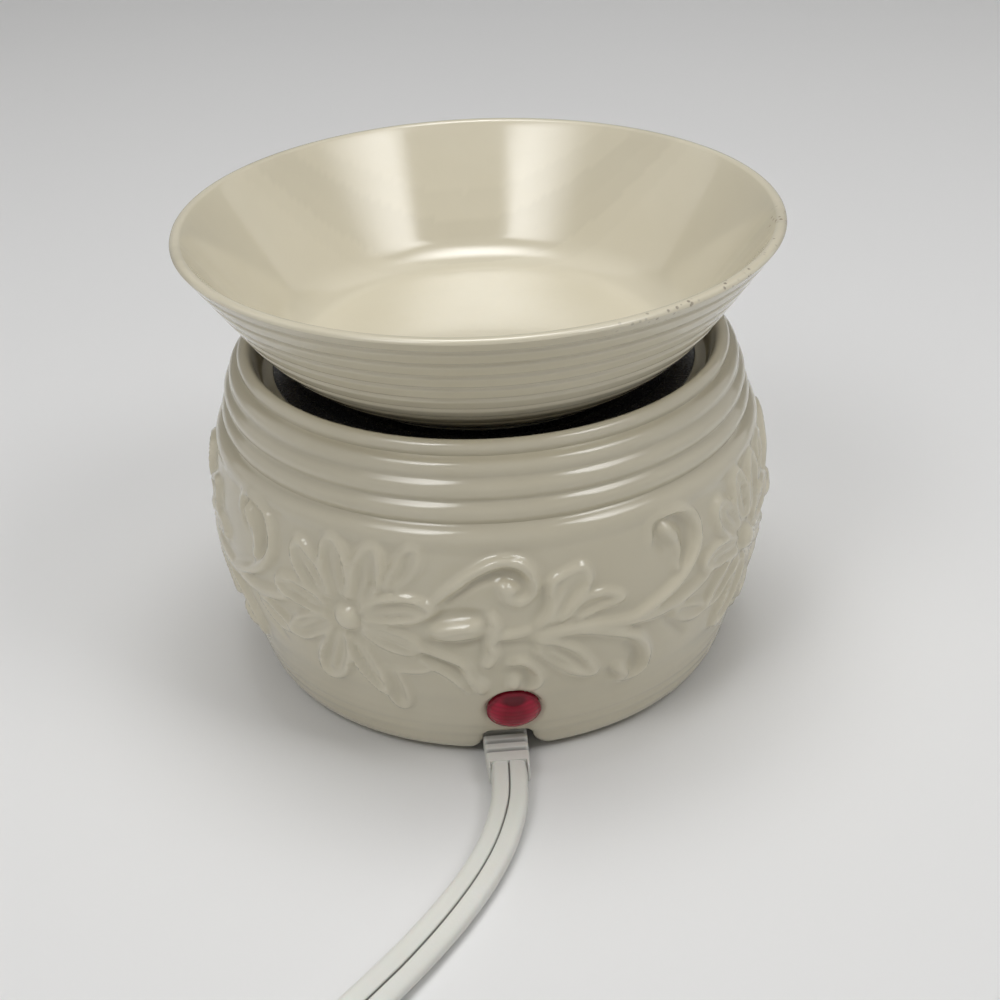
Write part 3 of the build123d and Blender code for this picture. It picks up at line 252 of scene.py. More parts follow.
class NodeTree:
    """Short ways to add the nodes that the finishes, the lamps and the turned pieces use."""

    BAND_SCALE = 1 / 6.283
    BAND_DISTORTION = 0.4

    def __init__(self, tree: bpy.types.NodeTree) -> None:
        """Keeps the node tree that nodes are added to."""
        self.tree = tree

    def add(self, kind: str, **values: object) -> bpy.types.Node:
        """Adds a node of a kind, with some inputs set by their names, and returns it.

        Args:
            kind: The node's kind.
            values: The values of its inputs.

        Returns:
            The node.
        """
        node = self.tree.nodes.new(kind)
        for name, value in values.items():
            node.inputs[name].default_value = value
        return node

    def join(self, output: Socket, socket: Socket) -> None:
        """Links an output to an input."""
        self.tree.links.new(output, socket)

    def give(self, socket: Socket, value: object) -> None:
        """Gives an input its value, which is an output, a number or a colour.

        Args:
            socket: The input.
            value: What it gets.
        """
        if isinstance(value, Socket):
            self.join(value, socket)
        else:
            socket.default_value = value

    def textured(self, kind: str, place: Socket, **values: object) -> bpy.types.Node:
        """Adds a node that reads a place, with its other inputs set, and returns it."""
        node = self.add(kind, **values)
        self.join(place, node.inputs["Vector"])
        return node

    def noise(self, place: Socket, scale: float, detail: float) -> Socket:
        """Cloudy noise of a scale, from 0 to 1."""
        return self.textured("ShaderNodeTexNoise", place, Scale=scale, Detail=detail).outputs["Fac"]

    def cells(self, place: Socket, scale: float) -> Socket:
        """One value for each cell of a cell pattern.

        Args:
            place: The place on the piece.
            scale: How many cells there are to a metre.

        Returns:
            The value, from 0 to 1.
        """
        colours = self.textured("ShaderNodeTexVoronoi", place, Scale=scale).outputs["Color"]
        grey = self.add("ShaderNodeRGBToBW")
        self.join(colours, grey.inputs["Color"])
        return grey.outputs["Val"]

    def waves(self, place: Socket, scale: float, axis: str) -> Socket:
        """Smooth bands across an axis, from 0 to 1.

        Args:
            place: The place on the piece.
            scale: How close the bands are.
            axis: The axis that they cross.

        Returns:
            The value.
        """
        node = self.textured(
            "ShaderNodeTexWave", place, Scale=scale * self.BAND_SCALE, Distortion=self.BAND_DISTORTION,
        )
        node.bands_direction = axis
        return node.outputs["Fac"]

    def stored(self, name: str) -> Socket:
        """A value that the piece's points store."""
        node = self.add("ShaderNodeAttribute")
        node.attribute_name = name
        return node.outputs["Fac"]

    def split(self, value: Socket) -> bpy.types.bpy_prop_collection:
        """A vector's parts, by the names X, Y and Z."""
        node = self.add("ShaderNodeSeparateXYZ")
        self.join(value, node.inputs[0])
        return node.outputs

    def map_range(self, value: Socket, old: Point2, new: Point2, kind: str = "LINEAR") -> Socket:
        """A value moved from one range to another and held inside it.

        Args:
            value: The value.
            old: The range that it comes from.
            new: The range that it goes to.
            kind: How it goes from end to end.

        Returns:
            The new value.
        """
        node = self.add("ShaderNodeMapRange")
        node.interpolation_type = kind
        for name, number in zip(("From Min", "From Max", "To Min", "To Max"), (*old, *new)):
            node.inputs[name].default_value = number
        self.join(value, node.inputs["Value"])
        return node.outputs["Result"]

    def mix(self, share: Socket, first: object, second: object) -> Socket:
        """Mixes two colours, each a socket or four numbers.

        Args:
            share: The second colour's share.
            first: The first colour.
            second: The second colour.

        Returns:
            The mixed colour.
        """
        node = self.add("ShaderNodeMix")
        node.data_type = "RGBA"
        self.join(share, node.inputs["Factor"])
        colours = [socket for socket in (*node.inputs, *node.outputs) if socket.type == "RGBA"]
        for socket, value in zip(colours, (first, second)):
            self.give(socket, value)
        return colours[-1]

    def math(self, operation: str, first: object, second: object = 0.0) -> Socket:
        """Works out one value from two, each a socket or a number.

        Args:
            operation: The sum's kind.
            first: The first value.
            second: The second value.

        Returns:
            The result.
        """
        node = self.add("ShaderNodeMath")
        node.operation = operation
        for socket, value in zip(node.inputs, (first, second)):
            self.give(socket, value)
        return node.outputs[0]


GLAZE = Finish(
    "ivory_glaze", (0.68, 0.632, 0.50), (0.625, 0.573, 0.435), 0.13, 0.04, Grain.GLAZE,
    cloud_size=0.05, grain_size=0.0035, grain_depth=0.00003, coat=0.35,
)
BLACK_ENAMEL = Finish(
    "black_pan_enamel", (0.012, 0.012, 0.014), (0.02, 0.02, 0.022), 0.28, 0.08, Grain.SPECKLE,
    grain_size=0.0005, grain_depth=0.00003, coat=0.4,
)
RUBY = Finish(
    "ruby_lens", (0.43, 0.005, 0.036), (0.37, 0.004, 0.029), 0.14, 0.03, Grain.JEWEL,
    cloud_size=0.004, grain_size=0.0006, grain_depth=0.00005, coat=0.1, ior=1.34, painted_shade_tone=0.18,
)
CORD_VINYL = Finish(
    "white_cord_vinyl", (0.75, 0.755, 0.71), (0.72, 0.72, 0.67), 0.34, 0.06,
    cloud_size=0.012, grain_size=0.0007, grain_depth=0.00003, subsurface=0.06, painted_shade_tone=0.34,
)
RELIEF_VINYL = Finish(
    "strain_relief_nylon", (0.74, 0.74, 0.70), (0.69, 0.685, 0.64), 0.42, 0.06,
    cloud_size=0.008, grain_size=0.0005, subsurface=0.04, painted_shade_tone=0.3,
)
PLUG_VINYL = Finish(
    "white_plug_vinyl", (0.70, 0.68, 0.61), (0.65, 0.62, 0.54), 0.4, 0.06,
    cloud_size=0.015, grain_size=0.0005, grain_depth=0.00005, subsurface=0.05,
)
SWITCH_PLASTIC = Finish(
    "switch_housing", (0.72, 0.70, 0.64), (0.68, 0.655, 0.585), 0.38, 0.06,
    cloud_size=0.015, grain_size=0.0004, grain_depth=0.00005,
)
WHEEL_PLASTIC = Finish(
    "switch_wheel_brown", (0.075, 0.042, 0.024), (0.055, 0.030, 0.017), 0.35, 0.06,
    cloud_size=0.01, grain_size=0.0004, grain_depth=0.00003,
)
TIE_FABRIC = Finish(
    "woven_tie", (0.62, 0.61, 0.58), (0.55, 0.54, 0.51), 0.85, 0.08, Grain.WOVEN,
    cloud_size=0.01, grain_depth=0.00015,
)
ZINC = Finish(
    "zinc_steel", (0.62, 0.63, 0.64), (0.55, 0.56, 0.58), 0.38, 0.12, Grain.SPANGLE,
    grain_size=0.003, grain_depth=0.00001, metallic=1.0,
)
ALUMINIUM = Finish(
    "brushed_aluminium", (0.78, 0.78, 0.77), (0.70, 0.70, 0.70), 0.32, 0.1, Grain.BRUSHED,
    grain_size=0.0004, grain_depth=0.00002, metallic=1.0,
)
MICA = Finish(
    "mica_sheet", (0.55, 0.47, 0.36), (0.42, 0.34, 0.25), 0.35, 0.12, Grain.SPANGLE,
    cloud_size=0.008, grain_size=0.0012, grain_depth=0.00003, coat=0.3,
)
RESISTANCE = Finish(
    "resistance_alloy", (0.45, 0.42, 0.39), (0.36, 0.31, 0.27), 0.42, 0.1, Grain.BRUSHED,
    grain_size=0.0004, metallic=1.0,
)
SPRING_STEEL = Finish(
    "spring_steel", (0.50, 0.50, 0.51), (0.42, 0.41, 0.41), 0.3, 0.08, Grain.BRUSHED,
    grain_size=0.0003, grain_depth=0.00001, metallic=1.0,
)
TINNED = Finish(
    "tinned_metal", (0.74, 0.73, 0.70), (0.64, 0.63, 0.60), 0.28, 0.08,
    cloud_size=0.003, grain_size=0.0005, grain_depth=0.00002, metallic=1.0,
)
BRASS = Finish(
    "nickel_plated_brass", (0.72, 0.68, 0.58), (0.66, 0.60, 0.48), 0.26, 0.08, Grain.BRUSHED,
    cloud_size=0.006, grain_size=0.0003, grain_depth=0.00001, metallic=1.0,
)
RUBBER = Finish(
    "foot_rubber", (0.55, 0.54, 0.50), (0.48, 0.47, 0.43), 0.7, 0.08, Grain.SPECKLE,
    grain_size=0.0005, grain_depth=0.00005,
)
LAMP_GLASS = Finish(
    "neon_glass", (0.90, 0.86, 0.82), (0.86, 0.80, 0.76), 0.06, 0.02, grain_size=0.002,
    grain_depth=0.00001, transmission=0.9,
)
NYLON = Finish(
    "lamp_nylon", (0.66, 0.65, 0.60), (0.60, 0.59, 0.54), 0.45, 0.06, grain_size=0.0006,
    subsurface=0.05,
)
SLEEVE = Finish(
    "braided_sleeve", (0.66, 0.64, 0.58), (0.56, 0.54, 0.47), 0.8, 0.08, Grain.WOVEN,
    grain_size=0.0006, grain_depth=0.0001,
)
CORE = Finish(
    "core_insulation", (0.64, 0.62, 0.56), (0.58, 0.56, 0.50), 0.45, 0.06, grain_size=0.0006,
)


# Meshes

def linked(name: str, data: bpy.types.ID) -> bpy.types.Object:
    """Makes an object of a mesh, a curve, a lamp or a camera, and puts it in the scene."""
    made = bpy.data.objects.new(name, data)
    bpy.context.scene.collection.objects.link(made)
    return made


def new_piece(
    name: str, points: np.ndarray, faces: Sequence[Sequence[int]], finish: Finish,
    sharp: float = 40.0, weld: float = 0.0,
) -> bpy.types.Object:
    """Makes a mesh piece from points in millimetres.

    Args:
        name: The piece's name.
        points: Its points, one row each.
        faces: Its faces, as point numbers.
        finish: What it is made of.
        sharp: Edges that turn more than this many degrees stay sharp.
        weld: Points nearer than this many metres become one.

    Returns:
        The piece, at the origin, with its normals pointing outwards.
    """
    mesh = bpy.data.meshes.new(name)
    mesh.from_pydata((np.asarray(points, float) * MM).tolist(), [], [list(face) for face in faces])
    piece = linked(name, mesh)
    tidy(piece, finish, sharp, weld)
    return piece


def tidy(piece: bpy.types.Object, finish: Finish, sharp: float = 40.0, weld: float = 0.0) -> None:
    """Welds a piece's points, turns its normals outwards, smooths it and gives it its finish.

    Args:
        piece: The piece.
        finish: What it is made of.
        sharp: Edges that turn more than this many degrees stay sharp.
        weld: Points nearer than this many metres become one.
    """
    work = bmesh.new()
    work.from_mesh(piece.data)
    if weld:
        bmesh.ops.remove_doubles(work, verts=work.verts, dist=weld)
    bmesh.ops.recalc_face_normals(work, faces=work.faces)
    for face in work.faces:
        face.smooth = True
        face.material_index = 0
    work.to_mesh(piece.data)
    work.free()
    piece.data.set_sharp_from_angle(angle=math.radians(sharp))
    piece.data.materials.clear()
    piece.data.materials.append(finish.material())
    LOG.info("%s: %d faces", piece.name, len(piece.data.polygons))


def store(mesh: bpy.types.Mesh, name: str, values: np.ndarray) -> None:
    """Stores a number for each point of a mesh."""
    mesh.attributes.new(name, "FLOAT", "POINT").data.foreach_set("value", np.ravel(values))


def evaluated(piece: bpy.types.Object) -> bpy.types.Mesh:
    """The plain mesh that an object's curve or modifiers make."""
    graph = bpy.context.evaluated_depsgraph_get()
    return bpy.data.meshes.new_from_object(piece.evaluated_get(graph))


def applied(piece: bpy.types.Object) -> None:
    """Replaces a piece's mesh by what its modifiers make of it, and removes the modifiers."""
    done = evaluated(piece)
    piece.modifiers.clear()
    piece.data = done


def ring_faces(rows: int, columns: int, close_rows: bool = False) -> list[tuple[int, ...]]:
    """The quads between closed rows of points, numbered row by row.

    Args:
        rows: How many rows there are.
        columns: How many points each has.
        close_rows: Whether the last row joins the first.

    Returns:
        The faces, as point numbers.
    """
    faces = []
    for row in range(rows if close_rows else rows - 1):
        here, above = row * columns, (row + 1) % rows * columns
        for column in range(columns):
            right = (column + 1) % columns
            faces.append((here + column, here + right, above + right, above + column))
    return faces


def tube_faces(rows: int, columns: int) -> list[tuple[int, ...]]:
    """The quads between closed rows of points, and the two ends."""
    last = (rows - 1) * columns
    return [*ring_faces(rows, columns), tuple(range(columns)), tuple(range(last, last + columns))]


def lengths_along(line: np.ndarray) -> np.ndarray:
    """How far along a line each of its points lies."""
    return np.concatenate([[0.0], np.cumsum(np.linalg.norm(np.diff(line, axis=0), axis=1))])


def headings(line: np.ndarray) -> np.ndarray:
    """The direction of a line at each of its points."""
    heading = np.gradient(line, axis=0)
    return heading / np.maximum(np.linalg.norm(heading, axis=1, keepdims=True), 1e-9)


def circle(steps: int) -> np.ndarray:
    """The angles of so many even steps round a circle."""
    return np.arange(steps) * 2 * np.pi / steps


def between(first: float, second: float, share: float) -> float:
    """The value at a share of the way from one value to another."""
    return first + (second - first) * share


def arc(centre: Point2, radius: float, first: float, last: float, steps: int) -> list[Point2]:
    """Points on an arc from its first angle to its last, one more than the steps."""
    angles = [between(first, last, step / steps) for step in range(steps + 1)]
    return [(centre[0] + radius * math.cos(a), centre[1] + radius * math.sin(a)) for a in angles]


def tangent_arc(start: Point2, tangent: Point2, end: Point2, steps: int) -> list[Point2]:
    """Points on the arc that leaves a point along a tangent and ends at another point.

    Args:
        start: Where the arc starts.
        tangent: The direction in which it starts.
        end: Where it ends.
        steps: How many points it has after its start.

    Returns:
        The points after the start, up to and with the end.
    """
    begin, finish = Vector(start), Vector(end)
    along = Vector(tangent).normalized()
    chord = finish - begin
    side = Vector((-along.y, along.x))
    radius = chord.length_squared / (2 * chord.dot(side))
    centre = begin + side * radius
    first = math.atan2(begin.y - centre.y, begin.x - centre.x)
    turn = math.atan2(finish.y - centre.y, finish.x - centre.x) - first
    while turn * radius < 0:
        turn += math.copysign(2 * math.pi, radius)
    turn = math.fmod(turn, 2 * math.pi)
    return arc(tuple(centre), abs(radius), first, first + turn, steps)[1:]


def straight(start: Point2, end: Point2, steps: int) -> list[Point2]:
    """Points on a straight run after its start, up to and with its end."""
    shares = [step / steps for step in range(1, steps + 1)]
    return [(between(start[0], end[0], share), between(start[1], end[1], share)) for share in shares]


def smooth_line(points: Sequence[Point2], steps: int) -> list[Point2]:
    """A smooth curve through points, as so many short runs between each two.

    Args:
        points: The points.
        steps: How many runs lie between each two of them.

    Returns:
        The curve's points, up to and with the last.
    """
    given = [np.array(point, float) for point in points]
    given = [2 * given[0] - given[1], *given, 2 * given[-1] - given[-2]]
    line = []
    for p0, p1, p2, p3 in zip(given, given[1:], given[2:], given[3:]):
        for t in (step / steps for step in range(steps)):
            square, cube = 2 * p0 - 5 * p1 + 4 * p2 - p3, 3 * p1 - p0 - 3 * p2 + p3
            line.append(tuple(0.5 * (2 * p1 + (p2 - p0) * t + square * t**2 + cube * t**3)))
    line.append(tuple(given[-2]))
    return line


# Turned pieces with ring grooves, by Geometry Nodes

@dataclass(frozen=True)
class RingRule:
    """Ring grooves round a turned piece, measured along its outline in millimetres."""

    first: float
    pitch: float
    count: int
    width: float
    depth: float


class Turning:
    """A piece turned about the Z axis from an outline, with its ring grooves made by Geometry Nodes."""

    GROUP = "turned_with_rings"
    SOCKETS: tuple[tuple[str, str, float | None], ...] = (
        ("Geometry", "Geometry", None), ("First Ring", "Float", 0.0036), ("Ring Pitch", "Float", 0.0043),
        ("Ring Width", "Float", 0.0006), ("Ring Depth", "Float", 0.0004), ("Ring Count", "Int", 8),
        ("Segments", "Int", 256), ("Rows", "Int", 100), ("Material", "Material", None),
    )
    HOLLOW_SHARE = -0.6
    WELD = 0.000001

    @classmethod
    def group(cls) -> bpy.types.NodeTree:
        """Makes the node group that turns an outline, once.

        Returns:
            The group. Its inputs are the outline, the ring rule, the segments and the material.
        """
        if cls.GROUP in bpy.data.node_groups:
            return bpy.data.node_groups[cls.GROUP]
        group = bpy.data.node_groups.new(cls.GROUP, "GeometryNodeTree")
        for name, kind, value in cls.SOCKETS:
            socket = group.interface.new_socket(name, in_out="INPUT", socket_type="NodeSocket" + kind)
            if value is not None:
                socket.default_value = value
        group.interface.new_socket("Geometry", in_out="OUTPUT", socket_type="NodeSocketGeometry")
        tree = NodeTree(group)
        given = tree.add("NodeGroupInput").outputs
        grid = tree.add("GeometryNodeMeshGrid")
        tree.join(tree.math("ADD", given["Segments"], 1.0), grid.inputs["Vertices X"])
        tree.join(given["Rows"], grid.inputs["Vertices Y"])
        parts = tree.split(tree.add("GeometryNodeInputPosition").outputs[0])
        angle = tree.math("MULTIPLY", tree.math("ADD", parts["X"], 0.5), 2 * math.pi)
        rows = tree.math("SUBTRACT", given["Rows"], 1.0)
        row = tree.math("ROUND", tree.math("MULTIPLY", tree.math("ADD", parts["Y"], 0.5), rows))
        place, outward, along = (
            cls._sampled(tree, given, row, kind, source) for kind, source in (
                ("FLOAT_VECTOR", tree.add("GeometryNodeInputPosition").outputs[0]),
                ("FLOAT_VECTOR", cls._named(tree, "FLOAT_VECTOR", "outward")),
                ("FLOAT", cls._named(tree, "FLOAT", "along")),
            )
        )
        dip = cls._dip(tree, given, along)
        drop = tree.math("MULTIPLY", tree.math("MULTIPLY", dip, given["Ring Depth"]), -1.0)
        move = tree.add("ShaderNodeVectorMath")
        move.operation = "SCALE"
        tree.join(outward, move.inputs[0])
        tree.join(drop, move.inputs["Scale"])
        total = tree.add("ShaderNodeVectorMath")
        tree.join(place, total.inputs[0])
        tree.join(move.outputs[0], total.inputs[1])
        spin = tree.textured("ShaderNodeVectorRotate", total.outputs[0])
        spin.rotation_type = "Z_AXIS"
        tree.join(angle, spin.inputs["Angle"])
        put = tree.add("GeometryNodeSetPosition")
        tree.join(spin.outputs[0], put.inputs["Position"])
        # The ring grooves store a dip in the relief, which darkens the glaze there: partly pooled glaze,
        # partly painted shade.
        keep = tree.add("GeometryNodeStoreNamedAttribute", Name="relief")
        keep.data_type = "FLOAT"
        tree.join(tree.math("MULTIPLY", dip, cls.HOLLOW_SHARE), in_use(keep.inputs, "Value"))
        weld = tree.add("GeometryNodeMergeByDistance", Distance=cls.WELD)
        real = tree.add("GeometryNodeRealizeInstances")
        paint = tree.add("GeometryNodeSetMaterial")
        tree.join(given["Material"], paint.inputs["Material"])
        chain = (grid, put, keep, weld, real, paint, tree.add("NodeGroupOutput"))
        for here, after in zip(chain, chain[1:]):
            tree.join(here.outputs[0], after.inputs[0])
        return group

    @staticmethod
    def _sampled(
        tree: NodeTree, given: bpy.types.bpy_prop_collection, row: Socket, kind: str, source: Socket,
    ) -> Socket:
        """A value of the outline's point in a row.

        Args:
            tree: The nodes that it adds to.
            given: The group's inputs.
            row: The number of the row.
            kind: The value's kind.
            source: The value to read.

        Returns:
            The value.
        """
        node = tree.add("GeometryNodeSampleIndex")
        node.data_type = kind
        tree.join(given["Geometry"], node.inputs["Geometry"])
        tree.join(source, in_use(node.inputs, "Value"))
        tree.join(row, node.inputs["Index"])
        return in_use(node.outputs, "Value")

    @staticmethod
    def _named(tree: NodeTree, kind: str, name: str) -> Socket:
        """A named attribute of the outline."""
        node = tree.add("GeometryNodeInputNamedAttribute", Name=name)
        node.data_type = kind
        return in_use(node.outputs, "Attribute")

    @staticmethod
    def _dip(tree: NodeTree, given: bpy.types.bpy_prop_collection, along: Socket) -> Socket:
        """How much of the ring depth a place has: 1 in the middle of the nearest ring, and 0 far from it.

        Args:
            tree: The nodes that it adds to.
            given: The group's inputs.
            along: How far along the outline it is.

        Returns:
            The share.
        """
        steps = tree.math("DIVIDE", tree.math("SUBTRACT", along, given["First Ring"]), given["Ring Pitch"])
        last = tree.math("SUBTRACT", given["Ring Count"], 1.0)
        nearest = tree.math("MINIMUM", tree.math("MAXIMUM", tree.math("ROUND", steps), 0.0), last)
        centre = tree.math("ADD", tree.math("MULTIPLY", nearest, given["Ring Pitch"]), given["First Ring"])
        away = tree.math("DIVIDE", tree.math("SUBTRACT", along, centre), given["Ring Width"])
        return tree.math("EXPONENT", tree.math("MULTIPLY", tree.math("MULTIPLY", away, away), -1.0))

    @classmethod
    def make(
        cls, name: str, outline: Sequence[Point2], finish: Finish, rings: RingRule,
        start: int = 0, segments: int = 256, sharp: float = 40.0,
    ) -> bpy.types.Object:
        """Turns an outline into a piece.

        Args:
            name: The piece's name.
            outline: Its (radius, height) points in millimetres, anticlockwise seen with Z up.
            finish: What it is made of.
            rings: The ring grooves, measured from the start point.
            start: The number of the outline's point from which the rings are measured.
            segments: How many steps the turn has.
            sharp: Edges that turn more than this many degrees stay sharp.

        Returns:
            The turned piece.
        """
        points = np.array(outline, float)
        along = lengths_along(points)
        heading = headings(points)
        outward = np.stack([heading[:, 1], np.zeros(len(points)), -heading[:, 0]], axis=1)
        mesh = bpy.data.meshes.new(name)
        mesh.from_pydata([(r * MM, 0, z * MM) for r, z in outline], [], [])
        store(mesh, "along", (along - along[start]) * MM)
        mesh.attributes.new("outward", "FLOAT_VECTOR", "POINT").data.foreach_set("vector", outward.ravel())
        piece = linked(name, mesh)
        turning = piece.modifiers.new("turning", "NODES")
        turning.node_group = cls.group()
        sockets = {item.name: item.identifier for item in cls.group().interface.items_tree}
        for label, value in (
            ("First Ring", rings.first * MM), ("Ring Pitch", rings.pitch * MM),
            ("Ring Width", rings.width * MM), ("Ring Depth", rings.depth * MM),
            ("Ring Count", rings.count), ("Segments", segments), ("Rows", len(outline)),
            ("Material", finish.material()),
        ):
            turning[sockets[label]] = value
        applied(piece)
        tidy(piece, finish, sharp)
        return piece


# Carved flowers and scrolls on the body

class Cut(Enum):
    """Whether a stroke stands up from the clay or is pressed into it."""

    RIDGE = "ridge"
    GROOVE = "groove"


@dataclass(frozen=True)
class Stroke:
    """A drawn bead or groove of the ornament: points in (degrees round, height in mm), size in mm."""

    points: tuple[Point2, ...]
    width: float
    height: float
    cut: Cut = Cut.RIDGE
    taper: float = 0.3


@dataclass(frozen=True)
class Petal:
    """A finger-shaped petal: a bead along its edge, a low pillow inside it, and its ribs and grooves."""

    edge: tuple[Point2, ...]
    ribs: tuple[tuple[Point2, ...], ...] = ()
    grooves: tuple[tuple[Point2, ...], ...] = ()
    bead: float = 1.0
    height: float = 1.55
    fill: float = 0.5


PETALS: tuple[Petal, ...] = (
    Petal(
        ((-37.6, 44.6), (-42.0, 48.0), (-43.7, 51.0), (-44.2, 54.2), (-42.8, 56.4), (-40.3, 54.8),
         (-38.0, 52.0), (-35.6, 47.0)),
        (((-40.8, 51.6), (-38.4, 48.6), (-36.2, 45.8)),),
        (((-42.0, 51.0), (-38.6, 45.8)), ((-39.4, 52.0), (-36.6, 47.2))),
    ),
    Petal(
        ((-35.2, 46.0), (-36.6, 50.0), (-37.0, 54.0), (-36.7, 57.6), (-35.2, 59.9), (-33.2, 58.6),
         (-31.8, 55.4), (-31.2, 51.0), (-31.6, 46.6)),
        (((-34.2, 55.6), (-33.6, 51.6), (-32.8, 47.2)),),
        (((-35.2, 55.6), (-34.4, 50.6), (-33.4, 46.4)), ((-33.2, 55.0), (-32.2, 48.4))),
    ),
    Petal(
        ((-30.6, 46.4), (-30.2, 50.6), (-29.8, 54.4), (-28.3, 57.8), (-26.2, 59.7), (-24.8, 57.8),
         (-24.6, 53.6), (-25.4, 49.4), (-28.2, 45.0)),
        (((-26.9, 55.0), (-27.4, 50.6), (-28.8, 46.4)),),
        (((-27.9, 55.0), (-28.6, 50.4), (-29.4, 46.2)), ((-26.0, 55.0), (-26.4, 50.2), (-27.8, 46.2))),
    ),
    Petal(
        ((-23.4, 50.2), (-22.6, 53.0), (-21.3, 56.6), (-19.0, 60.4), (-17.2, 60.0), (-16.9, 57.4),
         (-18.4, 54.0), (-21.4, 50.4)), (),
        (((-19.2, 58.0), (-20.0, 54.6), (-21.6, 51.8)),), 0.9, 1.35,
    ),
    Petal(
        ((-28.6, 43.4), (-25.4, 46.6), (-20.4, 48.5), (-16.4, 47.8), (-14.6, 46.0), (-18.0, 43.6),
         (-23.0, 42.2), (-28.0, 41.4)),
        (((-25.4, 43.8), (-20.6, 45.2), (-17.0, 45.6)),),
        (((-25.6, 45.2), (-21.0, 46.6), (-17.0, 46.6)), ((-25.6, 42.6), (-18.6, 44.4))),
    ),
    Petal(
        ((-36.4, 43.4), (-40.4, 45.4), (-44.4, 46.1), (-47.8, 45.3), (-48.8, 43.4), (-45.6, 41.6),
         (-41.0, 40.6), (-36.6, 40.6)),
        (((-38.4, 42.2), (-42.6, 43.6), (-46.0, 43.8)),),
        (((-38.2, 43.4), (-45.0, 45.0)), ((-38.2, 41.4), (-45.0, 42.4))),
    ),
    Petal(
        ((-36.2, 39.6), (-40.0, 38.6), (-43.2, 36.8), (-45.6, 34.2), (-46.8, 31.4), (-44.2, 30.8),
         (-40.6, 32.8), (-35.0, 37.6)),
        (((-37.8, 38.2), (-41.6, 35.6), (-44.6, 32.8)),),
        (((-37.8, 39.0), (-44.4, 34.8)), ((-37.0, 37.4), (-43.2, 32.6))),
    ),
    Petal(
        ((-35.6, 36.6), (-38.0, 31.6), (-39.9, 27.4), (-40.9, 22.8), (-39.4, 20.8), (-36.4, 22.2),
         (-33.9, 26.0), (-32.6, 31.0), (-32.4, 36.4)),
        (((-38.0, 24.0), (-36.4, 28.0), (-34.2, 35.2)),),
        (((-39.0, 25.2), (-37.4, 29.4), (-34.8, 35.6)), ((-36.6, 25.0), (-33.4, 34.6))),
    ),
    Petal(
        ((-32.0, 36.2), (-31.9, 31.4), (-30.8, 26.6), (-28.6, 22.6), (-26.4, 20.4), (-25.6, 23.4),
         (-26.8, 28.2), (-28.8, 34.4)),
        (((-27.4, 24.6), (-29.0, 29.6), (-30.4, 35.0)),),
        (((-28.2, 24.6), (-30.4, 30.6), (-31.0, 34.6)), ((-27.0, 26.6), (-29.4, 34.0))),
    ),
    Petal(
        ((-25.6, 28.0), (-25.8, 22.4), (-25.5, 18.0), (-24.0, 15.6), (-22.1, 16.8), (-21.2, 21.0),
         (-22.6, 28.0)), (),
        (((-23.4, 18.0), (-23.3, 23.0), (-24.0, 27.0)),), 0.9, 1.2,
    ),
    Petal(
        ((-28.4, 39.6), (-23.6, 39.8), (-19.0, 38.4), (-16.6, 35.8), (-19.6, 34.2), (-24.4, 35.0),
         (-28.2, 37.4)),
        (((-26.6, 38.4), (-22.4, 37.4), (-19.0, 36.2)),),
        (((-26.4, 39.0), (-20.0, 37.6)), ((-26.2, 37.4), (-20.4, 35.6))), 0.9, 1.1,
    ),
    Petal(
        ((5.0, 41.4), (7.2, 45.4), (7.6, 49.6), (7.8, 51.8), (10.4, 53.6), (13.8, 54.4), (14.8, 51.4),
         (13.2, 47.4), (9.0, 42.4)),
        (((9.4, 50.2), (8.6, 46.0), (7.4, 42.6)),),
        (((8.6, 44.4), (10.8, 47.8), (13.0, 50.8)), ((8.8, 51.0), (8.0, 47.0))), 1.0, 1.6, 0.7,
    ),
    Petal(
        ((9.8, 42.6), (13.8, 46.8), (17.2, 47.2), (20.4, 46.0), (21.2, 44.6), (17.2, 43.8), (12.6, 42.0)),
        (),
        (((12.8, 44.0), (18.4, 45.2)),), 0.95, 1.4, 0.6,
    ),
    Petal(
        ((4.6, 37.6), (8.0, 36.6), (11.6, 34.2), (14.2, 30.6), (16.4, 25.4), (12.4, 26.6), (8.0, 30.6),
         (4.4, 35.0)),
        (((7.0, 34.8), (9.6, 31.8), (12.6, 28.0)),),
        (((7.0, 35.8), (10.6, 32.8), (13.6, 28.8)), ((6.0, 34.4), (8.4, 31.0), (10.8, 28.2))), 1.0, 1.5,
    ),
    Petal(
        ((33.6, 36.0), (37.4, 35.2), (41.0, 33.4), (43.2, 31.0), (40.6, 30.0), (36.8, 31.4), (33.4, 34.2)),
        (),
        (((35.6, 34.2), (40.6, 31.8)),), 0.95, 1.2, 0.7,
    ),
)

